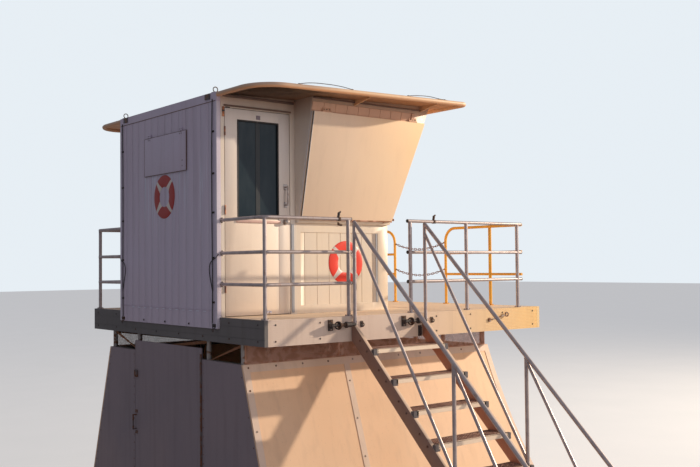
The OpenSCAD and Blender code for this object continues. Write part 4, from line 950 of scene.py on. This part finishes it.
def swept(points, radius, sides=2):
    """A bent rod or cable on a smooth curve through the points."""
    line = bpy.data.curves.new("run", "CURVE")
    line.dimensions = "3D"
    line.bevel_depth = radius
    line.bevel_resolution = sides
    line.resolution_u = 8
    line.use_fill_caps = True
    spline = line.splines.new("BEZIER")
    spline.bezier_points.add(len(points) - 1)
    for knot, point in zip(spline.bezier_points, points):
        knot.co = point
        knot.handle_left_type = knot.handle_right_type = "AUTO"
    made = bpy.data.objects.new("run", line)
    bpy.context.scene.collection.objects.link(made)
    alone(made)
    bpy.ops.object.convert(target="MESH")
    return bpy.context.view_layer.objects.active


stays = [
    swept([(-1.50, -1.795, roof_top(-1.50) + 0.002), (-1.38, -1.79, roof_top(-1.38) + 0.022),
           (-1.20, -1.785, roof_top(-1.20) + 0.030), (-0.98, -1.79, roof_top(-0.98) + 0.020),
           (-0.86, -1.795, roof_top(-0.86) + 0.002)], 0.0035),
    swept([(-0.12, -1.795, roof_top(-0.12) + 0.002), (0.02, -1.79, roof_top(0.02) + 0.016),
           (0.20, -1.785, roof_top(0.20) + 0.020), (0.33, -1.79, roof_top(0.33) + 0.006),
           (0.40, -1.795, roof_top(0.40) + 0.001)], 0.0035),
    swept([(0.28, -1.74, roof_top(0.28) + 0.001), (0.40, -1.745, roof_top(0.40) + 0.014),
           (0.55, -1.75, roof_top(0.55) + 0.001)], 0.0035),
]
for x in (-1.50, -0.86, -0.12, 0.40):
    stays.append(rod((x, -1.795, roof_top(x) - 0.004), (x, -1.795, roof_top(x) + 0.006), 0.012))
fit(joined(stays), "roof_stays", "tower", dark_iron, "rusty_steel")

# Painted shadow: dark strips under the roof's edge, over the flare heads and over the walls beside the
# door, stand for the shadow gaps there.
soffit = []
for side in (-1, 1):
    ys = sorted((side * 1.372, side * 1.400))
    soffit.append(block((-1.035, ys[0], 4.800), (0.43, ys[1], 4.812), 0.002))
for side in (-1, 1):
    ys = sorted((side * (cabin_half + 0.0005), side * (cabin_half + 0.018)))
    soffit.append(block((-1.90, ys[0], 4.768), (-1.06, ys[1], 4.792), 0.003))
fit(joined(soffit), "roof_shadow_strips", "tower", brown_strip_and_shadow_finish, "dark_paint")
drip = [block((-1.889, -cabin_half - 0.016, 4.686), (-1.098, -cabin_half - 0.0005, 4.694), 0.002),
        block((-1.889, -cabin_half - 0.018, 4.676), (-1.098, -cabin_half - 0.012, 4.690), 0.002)]
fit(joined(drip), "door_drip_strip", "tower", brown_strip_and_shadow_finish, "dark_paint")

# ---------------------------------------------------------------- cabin door
# A moulded leaf with a tall dark pane in a rubber gasket, a pull, a knob and three worn hinges.
door_face = -1.07
leaf_x1 = -1.1125
pane_x0 = -1.7295
pane_x1 = -1.2495
pane_z0 = 3.590
pane_z1 = 4.555

door_paint = Finish("door_leaf_paint")
# Painted shade: the leaf turns cool grey towards the top and on its stile by the knob, where the roof and
# the flare shade it.
painted_shade_upper = door_paint.along("Z").between(3.5, 4.4)
painted_shade_stile = door_paint.along("X").between(-1.30, -1.22)
door_cream_and_painted_shade = door_paint.mix(painted_shade_upper * 0.7, rgb(0.86, 0.72, 0.60), rgb(0.80, 0.78, 0.80))
door_cream_and_painted_shade = door_paint.mix(painted_shade_stile * 0.4, door_cream_and_painted_shade, rgb(0.74, 0.74, 0.78))
weather(door_paint, door_cream_and_painted_shade, door_paint.mix(0.4, door_cream_and_painted_shade, rgb(0.82, 0.70, 0.60)),
        rgb(0.46, 0.33, 0.26),
        0.42, runs=0.15, specks=0.25)
leaf = solid_copy("cabin_door")
scored(leaf, 0, [-1.2475], 0.006, 0.003, [(0, -1, 0)], lambda middle: middle.z < 3.60)
fit(eased(leaf, 0.003, 2), "door_leaf", "cabin_door", door_paint, "door_shell", "cabin_door")

pane = Finish("dark_pane", Coat_Weight=0.6)
smears = pane.noise(7.0, 4.0, (1.0, 1.0, 3.0))
pane.colour(pane.mix(smears.between(0.40, 0.70), rgb(0.016, 0.030, 0.040), rgb(0.030, 0.046, 0.056)))
pane.gloss(smears * 0.14 + 0.05)
wear(["door_glass"], pane)


def window_frame(x0, x1, z0, z1, y0, y1, wide, ease):
    """A frame of four bars round an opening, wide across."""
    return [block((x0 - wide, y0, z0 - wide), (x1 + wide, y1, z0), ease),
            block((x0 - wide, y0, z1), (x1 + wide, y1, z1 + wide), ease),
            block((x0 - wide, y0, z0), (x0, y1, z1), ease),
            block((x1, y0, z0), (x1 + wide, y1, z1), ease)]


gasket = []
for y0, y1 in ((door_face - 0.003, door_face + 0.006), (door_face + 0.032, door_face + 0.041)):
    gasket += window_frame(pane_x0 + 0.010, pane_x1 - 0.010, pane_z0 + 0.010, pane_z1 - 0.010, y0, y1,
                           0.016, 0.002)
fit(joined(gasket), "door_pane_gasket", "cabin_door", black_rubber, "black_cable")
# A darker band down the middle of the pane is a painted reflection.
painted_reflection_band_finish = Finish("pane_painted_reflection_band", Coat_Weight=0.3)
reflection_band_noise = painted_reflection_band_finish.noise(9.0, 4.0)
painted_reflection_band_finish.colour(painted_reflection_band_finish.mix(reflection_band_noise, rgb(0.008, 0.014, 0.020), rgb(0.016, 0.024, 0.032)))
painted_reflection_band_finish.gloss(reflection_band_noise * 0.2 + 0.30)
band = block((-1.512, door_face + 0.0125, pane_z0 + 0.002), (-1.462, door_face + 0.0155, pane_z1 - 0.002),
             0.0006)
fit(band, "door_pane_band", "cabin_door", painted_reflection_band_finish, "dark_glass")
lip = [block((-1.748, door_face - 0.014, 3.546), (-1.228, door_face + 0.001, 3.572), 0.004, 2)]
fit(joined(lip), "door_pane_sill", "cabin_door",
    weather(Finish("door_sill_paint"), rgb(0.80, 0.52, 0.44), rgb(0.74, 0.50, 0.44), rgb(0.4, 0.2, 0.16),
            0.4),
    "door_shell")
vent = [block((-1.513, door_face - 0.007, 4.576), (-1.467, door_face + 0.001, 4.616), 0.002)]
for i in range(4):
    vent.append(block((-1.508, door_face - 0.010, 4.582 + i * 0.009),
                      (-1.472, door_face - 0.006, 4.586 + i * 0.009), 0.001))
fit(joined(vent), "door_vent", "cabin_door", hinge_iron, "dark_paint")

knob_x = leaf_x1 - 0.052
door_metal = Finish("door_fitting_metal", Metallic=0.85)
handled = door_metal.noise(22.0, 4.0)
door_metal.colour(door_metal.mix(handled.between(0.42, 0.66), rgb(0.66, 0.63, 0.62),
                                 rgb(0.40, 0.30, 0.26)))
door_metal.gloss(handled * 0.35 + 0.16).relief(handled, 0.0002)
roses = [rod((knob_x, door_face + 0.001, 3.563), (knob_x, door_face - 0.006, 3.563), 0.034, 24)]
for z in (3.734, 3.916):
    roses.append(block((knob_x - 0.022, door_face - 0.004, z - 0.030),
                       (knob_x + 0.022, door_face + 0.001, z + 0.030), 0.002))
fit(joined(roses), "door_rose_plates", "cabin_door", door_metal, "fitting_steel")
placements = [facing((knob_x + dx, door_face - 0.004, z + dz), (0.0, -1.0, 0.0))
              for z in (3.734, 3.916) for dx, dz in ((-0.014, -0.022), (0.014, 0.022))]
fit(copies(bolt(0.0045, 0.003), placements), "door_plate_screws", "cabin_door", door_metal,
    "fitting_steel")
bumpers = []
for x in (-1.404, -1.366):
    bumpers.append(rod((x, door_face + 0.001, 2.657), (x, door_face - 0.028, 2.657), 0.013, 14))
fit(joined(bumpers), "door_bumpers", "cabin_door", pale_paint, "fitting_steel")
fitting_rust = Finish("door_hinge_metal", Metallic=0.4)
low_bits = fitting_rust.along("X").between(-1.80, -1.84)
rust_marks = fitting_rust.noise(26.0, 5.0)
steel_tone = fitting_rust.mix(rust_marks.between(0.4, 0.62), rgb(0.64, 0.60, 0.58), rgb(0.42, 0.32, 0.28))
rust_tone = fitting_rust.mix(rust_marks.between(0.40, 0.60), rgb(0.52, 0.20, 0.10), rgb(0.16, 0.09, 0.08))
fitting_rust.colour(fitting_rust.mix(low_bits, steel_tone, rust_tone))
fitting_rust.gloss(rust_marks * 0.5 + 0.2).relief(rust_marks, 0.0005)
wear(["door_fittings"], fitting_rust)
strap_rust = rusted("door_strap_rust", rgb(0.66, 0.28, 0.14), rgb(0.50, 0.19, 0.09),
                    rgb(0.20, 0.09, 0.06), 0.7)
strap = [block((-1.9060, door_face - 0.010, 4.575), (-1.8830, door_face - 0.0002, 4.672), 0.002)]
fit(joined(strap), "door_corner_strap", "tower", strap_rust, "rusty_steel")
strap_band = [block((-1.9075, door_face - 0.012, 4.624), (-1.8815, door_face - 0.0002, 4.640), 0.002),
              rod((-1.872, door_face - 0.006, 4.668), (-1.820, door_face - 0.006, 4.668), 0.0045)]
fit(joined(strap_band), "door_corner_band", "tower", black_rubber, "black_cable")

# ---------------------------------------------------------------- railings
# Galvanised pipe: posts with bolted feet, bent corner rails, and flanges at the cabin's walls. Free
# rail ends carry black plugs, and two small rope hooks stand on the top rails.
rail_y = 1.81
rail_top_z = 3.563
rail_mid_z = 3.244
rail_low_z = 2.944
rail_r = 0.017
post_xs = (-0.9425, -0.1315, 0.6825, 1.4975)
rail_wall_x = -1.9155
rail_bend_inset = 0.0205
bend_x = rail_wall_x + rail_bend_inset
bend_y = rail_y - rail_bend_inset

pipe_zinc = Finish("pipe_zinc", Metallic=0.62)
spangle = pipe_zinc.spots(70.0)
dull = pipe_zinc.noise(10.0, 5.0)
tea_stain = pipe_zinc.noise(24.0, 5.0, (1.0, 1.0, 3.0)).between(0.60, 0.72)
zinc_tone = pipe_zinc.mix(dull.between(0.35, 0.65), rgb(0.56, 0.48, 0.47), rgb(0.40, 0.34, 0.35))
zinc_tone = pipe_zinc.mix(spangle.between(0.2, 0.6) * 0.25, zinc_tone, rgb(0.64, 0.58, 0.58))
pipe_zinc.colour(pipe_zinc.mix(tea_stain * 0.55, zinc_tone, rgb(0.34, 0.18, 0.11)))
pipe_zinc.gloss(dull * 0.25 + tea_stain * 0.25 + 0.27).relief(spangle, 0.0003)
wear(["rail_near_rear", "rail_near_fore", "rail_far", "stair_rail_left", "stair_rail_right"], pipe_zinc)


def foot_bolts(x, y):
    """Places for the four bolts of a post's foot, less those that would stand off the deck's edge."""
    foot_top = deck_top + 0.0082
    circle_r = 0.0285
    spots = []
    for turn in range(4):
        angle = math.pi * (0.25 + 0.5 * turn)
        bolt_y = y + circle_r * math.sin(angle)
        if abs(bolt_y) < deck_half - 0.008:
            spots.append(facing((x + circle_r * math.cos(angle), bolt_y, foot_top), (0.0, 0.0, 1.0)))
    return spots


feet = [(bend_x, -bend_y), (bend_x, bend_y)]
feet += [(x, side * rail_y) for side in (-1, 1) for x in post_xs]
placements = []
for x, y in feet:
    placements += foot_bolts(x, y)
for z in (rail_top_z, rail_mid_z, rail_low_z):
    for side in (-1, 1):
        for dz in (0.0212, -0.0212):
            placements.append(facing((rail_wall_x, side * (cabin_half + 0.0063), z + dz),
                                     (0.0, side, 0.0)))
fit(copies(bolt(0.0062, 0.007), placements), "rail_bolts", "tower", dark_iron, "rusty_steel")

plugs = []
for z in (rail_top_z, rail_mid_z, rail_low_z):
    plugs.append(rod((-0.1725, -rail_y, z), (-0.1615, -rail_y, z), rail_r * 1.08, 18))
    plugs.append(rod((-0.9100, -rail_y, z), (-0.9020, -rail_y, z), rail_r * 1.06, 18))
    for side in (-1, 1):
        plugs.append(rod((1.5600, side * rail_y, z), (1.5680, side * rail_y, z), rail_r * 1.06, 18))
fit(joined(plugs), "rail_plugs", "tower", black_rubber, "black_cable")
welds = []
for z in (rail_mid_z, rail_low_z):
    for x, y in feet:
        welds.append(ring((x, y, z + 0.012), (0.0, 0.0, 1.0), 0.0195, 0.0028, 16))
        welds.append(ring((x, y, z - 0.012), (0.0, 0.0, 1.0), 0.0195, 0.0028, 16))
for x, y in feet:
    welds.append(ring((x, y, 3.546), (0.0, 0.0, 1.0), 0.0195, 0.0030, 16))
fit(joined(welds), "rail_welds", "tower", pipe_zinc, "galvanised_steel")
hooks = []
for x in (-1.055, 0.205):
    z = rail_top_z
    hooks.append(rod((x - 0.006, -rail_y, z + 0.012), (x + 0.004, -rail_y, z + 0.056), 0.013, 16))
    hooks.append(block((x - 0.016, -rail_y - 0.020, z - 0.020), (x + 0.016, -rail_y + 0.020, z + 0.018),
                       0.005, 2))
    hooks.append(rod((x - 0.010, -rail_y, z + 0.052), (x + 0.024, -rail_y, z + 0.070), 0.0085, 14))
fit(joined(hooks), "rail_rope_hooks", "tower", dark_iron, "rusty_steel")
clamp = [rod((-1.066, -rail_y, 3.530), (-1.056, -rail_y, 3.508), 0.008),
         rod((-1.066, -rail_y, 3.512), (-1.020, -rail_y, 3.504), 0.012, 14)]
fit(joined(clamp), "rail_hook_latch", "tower", dark_iron, "rusty_steel")

# ---------------------------------------------------------------- sea railings and chains
# Yellow-painted pipe with bent ends. Rusty chains close the gap, each hooked to eyes on the posts.
yellow = Finish("yellow_pipe_paint")
chalked = yellow.noise(9.0, 5.0)
chips = yellow.noise(46.0, 5.0).between(0.66, 0.70)
yellow_tone = yellow.mix(chalked.between(0.35, 0.65), rgb(0.92, 0.50, 0.06), rgb(0.84, 0.40, 0.05))
yellow.colour(yellow.mix(chips, yellow_tone, rgb(0.34, 0.15, 0.07)))
yellow.gloss(chalked * 0.3 + 0.26).relief(chips * -1.0, 0.0006)
wear(["front_rails"], yellow)
chain_rust = rusted("chain_rust", rgb(0.24, 0.13, 0.09), rgb(0.34, 0.14, 0.07), rgb(0.12, 0.06, 0.05),
                    0.8)
wear(["front_chains"], chain_rust)
sea_rail_x = 1.6775
gap_half = 0.480
eyes = []
for side in (-1, 1):
    for z in (deck_top + 0.765, deck_top + 0.430):
        y = side * (gap_half - rail_r)
        eyes.append(rod((sea_rail_x, side * (gap_half + 0.004), z),
                        (sea_rail_x, side * (gap_half - 0.022), z), 0.0055))
        eyes.append(ring((sea_rail_x, y - side * 0.008, z), (1.0, 0.0, 0.0), 0.0085, 0.0032, 16))
fit(joined(eyes), "chain_eyes", "tower", chain_rust, "rusty_steel")
placements = []
for side in (-1, 1):
    for y in (gap_half, 1.230):
        placements += foot_bolts(sea_rail_x, side * y)
fit(copies(bolt(0.0062, 0.007), placements), "sea_rail_bolts", "tower", chain_rust, "rusty_steel")

# ---------------------------------------------------------------- stair
# Painted stringers carry galvanised gratings, each with a pale nosing plate and black end brackets
# on the stringers. The stringers hang on pivot pipes hooked to the fascia.
stair_x = -0.4575
stair_half = 0.4447
stringer_t = 0.040
rise = 0.2585
tread_run = 0.272
nosing_run = 0.058
tread_sink = 0.040
tread_deep = 0.250
tread_thick = 0.035
stair_slope = 0.950368
stringer_head = deck_top - 0.045

stringer_paint = Finish("stringer_paint")
# The stringers are cream paint: their tops show it as lit, their sides are dark brown painted shade, and
# the inner face of the sea-side stringer is red-brown painted bounce light.
painted_sunlit_top = stringer_paint.facing("Z").between(0.3, 0.6)
painted_bounce_inner_face = stringer_paint.facing("X").between(-0.5, -0.9) * stringer_paint.along("X").between(-0.30,
                                                                                                -0.20)
painted_shade_web = stringer_paint.mix(painted_bounce_inner_face, rgb(0.34, 0.20, 0.16), rgb(0.62, 0.26, 0.17))
stringer_tone_and_painted_light = stringer_paint.mix(painted_sunlit_top, painted_shade_web, rgb(0.84, 0.62, 0.46))
weather(stringer_paint, stringer_tone_and_painted_light, stringer_paint.mix(0.3, stringer_tone_and_painted_light, rgb(0.30, 0.19, 0.15)),
        rgb(0.16, 0.09, 0.07), 0.55, runs=0.2)
fit(eased(solid_copy("stair_stringers"), 0.003, 2), "stair_strings", "tower", stringer_paint,
    "stringer_paint", "stair_stringers")


def stringer_top(out):
    """Height of the stringer's top edge at a distance out from the deck's edge."""
    return stringer_head - stair_slope * out


mesh_zinc = Finish("grating_zinc", Metallic=0.35)
grime = mesh_zinc.noise(16.0, 4.0)
mesh_zinc.colour(mesh_zinc.mix(grime.between(0.38, 0.66), rgb(0.44, 0.27, 0.21), rgb(0.26, 0.14, 0.11)))
mesh_zinc.gloss(grime * 0.3 + 0.35).relief(grime, 0.0003)
nosing_paint = weather(Finish("nosing_paint"), rgb(0.96, 0.79, 0.62), rgb(0.88, 0.70, 0.55),
                       rgb(0.40, 0.25, 0.18), 0.5, runs=0.05, specks=0.7)

# One grating, its nosing's top front edge at the origin, is built and then set at every rise.
bars = []
for i in range(9):
    y = 0.014 + i * 0.0289
    bars.append(block((-stair_half, y - 0.0022, -tread_thick), (stair_half, y + 0.0022, -0.001), 0.0006))
for i in range(23):
    x = -stair_half + 0.012 + i * 0.0394
    bars.append(block((x - 0.0025, 0.010, -0.014), (x + 0.0025, tread_deep, -0.0015), 0.0006))
grating = joined(bars)
levels = [Matrix.Translation((stair_x, -deck_half - nosing_run - tread_run * i,
                              deck_top - tread_sink - rise * i)) for i in range(1, 10)]
fit(copies(grating, levels), "tread_gratings", "tower", mesh_zinc, "tread_steel", "stair_treads")
bpy.ops.object.select_all(action="DESELECT")
nose = [block((-stair_half, 0.0, -0.040), (stair_half, 0.004, 0.0), 0.001),
        block((-stair_half, 0.0, -0.0035), (stair_half, 0.034, 0.0), 0.001)]
for i in range(26):
    x = -stair_half + 0.022 + i * 0.0338
    nose.append(block((x - 0.010, 0.008, -0.0002), (x + 0.010, 0.011, 0.0), 0.0))
    nose.append(block((x - 0.010, 0.020, -0.0002), (x + 0.010, 0.023, 0.0), 0.0))
nosing = joined(nose)
fit(copies(nosing, levels), "tread_nosings", "tower", nosing_paint, "tread_steel")

brackets = []
for i in range(1, 10):
    run = nosing_run + tread_run * i
    top = deck_top - tread_sink - rise * i
    y = -deck_half - run
    for x0, x1 in ((stair_x - stair_half - stringer_t, stair_x - stair_half + 0.020),
                   (stair_x + stair_half - 0.020, stair_x + stair_half + stringer_t)):
        wedge = block((x0, y, 0.0), (x1, y + 0.036, 1.0), 0.0)
        for vertex in wedge.data.vertices:
            low = vertex.co.z < 0.5
            out = -deck_half - vertex.co.y
            vertex.co.z = stringer_top(out) + 0.0004 if low else top
        brackets.append(eased(wedge, 0.0015, 1))
fit(joined(brackets), "tread_end_brackets", "tower",
    weather(Finish("bracket_black"), rgb(0.10, 0.09, 0.10), rgb(0.16, 0.14, 0.15), rgb(0.20, 0.11, 0.07),
            0.55),
    "tread_steel")
placements = []
for i in range(1, 10):
    run = nosing_run + tread_run * i - 0.10
    for x in (stair_x - stair_half - stringer_t / 2, stair_x + stair_half + stringer_t / 2):
        low = stringer_top(run) - 0.186
        if low > 0.05:
            placements.append(facing((x, -deck_half - run, low + 0.001), (0.0, stair_slope, -1.0)))
    for x, way in ((stair_x - stair_half - stringer_t, -1.0), (stair_x + stair_half + stringer_t, 1.0)):
        middle = deck_top - tread_sink - rise * i - 0.020
        for dy in (0.10, 0.20):
            out = nosing_run + tread_run * i - dy
            placements.append(facing((x, -deck_half - out, stringer_top(out) - 0.060), (way, 0.0, 0.0)))
fit(copies(bolt(0.0105, 0.011), placements), "stringer_bolts", "tower",
    rusted("stringer_bolt_iron", rgb(0.24, 0.15, 0.12), rgb(0.28, 0.13, 0.08), rgb(0.12, 0.07, 0.05),
           0.5),
    "rusty_steel")

collars = []
for x in (stair_x - stair_half - stringer_t / 2, stair_x + stair_half + stringer_t / 2):
    for out in (0.030, 1.360, 2.690):
        z = stringer_top(out)
        collars.append(ring((x, -deck_half - out, z + 0.020), (0.0, 0.0, 1.0), 0.0182, 0.0045, 18))
    for out in (1.360, 2.690):
        z = stringer_top(out)
        collars.append(ring((x, -deck_half - out, rail_top_z - stair_slope * out - 0.020),
                            (0.0, 0.0, 1.0),
                            0.0185, 0.0030, 18))
fit(joined(collars), "stair_post_collars", "tower", pipe_zinc, "galvanised_steel")
caps = []
direction = Vector((0.0, -1.0, -stair_slope)).normalized()
for x in (stair_x - stair_half - stringer_t / 2, stair_x + stair_half + stringer_t / 2):
    for out, way in ((0.030, -1), (2.690, 1)):
        end = Vector((x, -deck_half - out, rail_top_z - stair_slope * out))
        caps.append(rod(end - direction * way * 0.002, end + direction * way * 0.004, 0.0198, 18))
fit(joined(caps), "stair_rail_caps", "tower", black_rubber, "black_cable")

wear(["stair_hooks"], dark_iron)
pivots = []
pivot_y = -deck_half - 0.062
pivot_z = deck_top - 0.075
head_xs = (stair_x - stair_half - stringer_t, stair_x + stair_half)
for x in head_xs:
    pivots.append(ring((x - 0.205, pivot_y + 0.004, pivot_z - 0.003), (1.0, 0.5, 0.0), 0.034, 0.0075, 20))
    pivots.append(rod((x - 0.262, pivot_y + 0.048, pivot_z),
                      (x - 0.240, pivot_y - 0.008, pivot_z + 0.005), 0.013, 14))
    pivots.append(rod((x - 0.125, pivot_y, pivot_z), (x - 0.100, pivot_y, pivot_z), 0.031, 20))
fit(joined(pivots), "stair_pivot_rings", "tower", dark_iron, "dark_paint")
placements = []
for x in head_xs:
    for dz in (-0.040, 0.040):
        placements.append(facing((x - 0.260, -deck_half - 0.0143, pivot_z + dz), (0.0, -1.0, 0.0)))
fit(copies(bolt(0.009, 0.009), placements), "stair_hook_bolts", "tower", screw_rust, "rusty_steel")

# ---------------------------------------------------------------- lifting eyes and hold-down cables
# Iron eyes on the roof over the cabin's corners, with black plates on the back wall. Two black
# cables run from them down the back wall in saddle clips, and end in shackles at the skirt.
wear(["lifting_eyes"], rusted("eye_iron", rgb(0.10, 0.085, 0.085), rgb(0.30, 0.18, 0.13),
                              rgb(0.10, 0.06, 0.05), 0.4))
wear(["hold_down_cables"], black_rubber)
cable_y = cabin_half - 0.066
clips = []
placements = []
for side in (-1, 1):
    for z in (4.43, 4.02, 3.64, 3.20, 2.77):
        y = side * cable_y
        clips.append(block((cabin_back - 0.004, y - 0.022, z - 0.010),
                           (cabin_back + 0.001, y + 0.022, z + 0.010),
                           0.0015))
        clips.append(ring((cabin_back - 0.0093, y, z), (0.0, 0.0, 1.0), 0.0052, 0.0016, 16))
        for dy in (-0.016, 0.016):
            placements.append(facing((cabin_back - 0.004, y + dy, z), (-1.0, 0.0, 0.0)))
fit(joined(clips), "cable_clips", "tower", dark_iron, "rusty_steel")
fit(copies(bolt(0.005, 0.004), placements), "cable_clip_screws", "tower", dark_iron, "rusty_steel")
shackles = []
for side in (-1, 1):
    y = side * cable_y
    shackles.append(block((cabin_back - 0.004, y - 0.045, 2.530), (cabin_back, y + 0.030, 2.562), 0.0015))
    shackles.append(ring((cabin_back - 0.010, y - 0.014, 2.534), (1.0, 0.12, 0.0), 0.019, 0.0035, 18))
    shackles.append(rod((cabin_back - 0.0095, y - 0.038, 2.552), (cabin_back - 0.0095, y + 0.014, 2.552),
                        0.006))
    shackles.append(ring((cabin_back - 0.010, y + 0.008, 2.500), (1.0, -0.12, 0.0), 0.015, 0.0035, 18))
fit(joined(shackles), "cable_shackles", "tower", dark_iron, "rusty_steel")
loops = []
for side in (-1, 1):
    route = [(-1.960, 1.085, 3.236), (-1.972, 1.060, 3.205), (-1.975, 0.965, 3.160),
             (-1.975, 0.935, 3.110),
             (-1.975, 0.945, 3.020), (-1.975, 0.975, 2.930), (-1.976, 0.998, 2.850)]
    loops.append(swept([(x, side * y, z) for x, y, z in route], 0.004))
fit(joined(loops), "cable_tails", "tower", black_rubber, "black_cable")
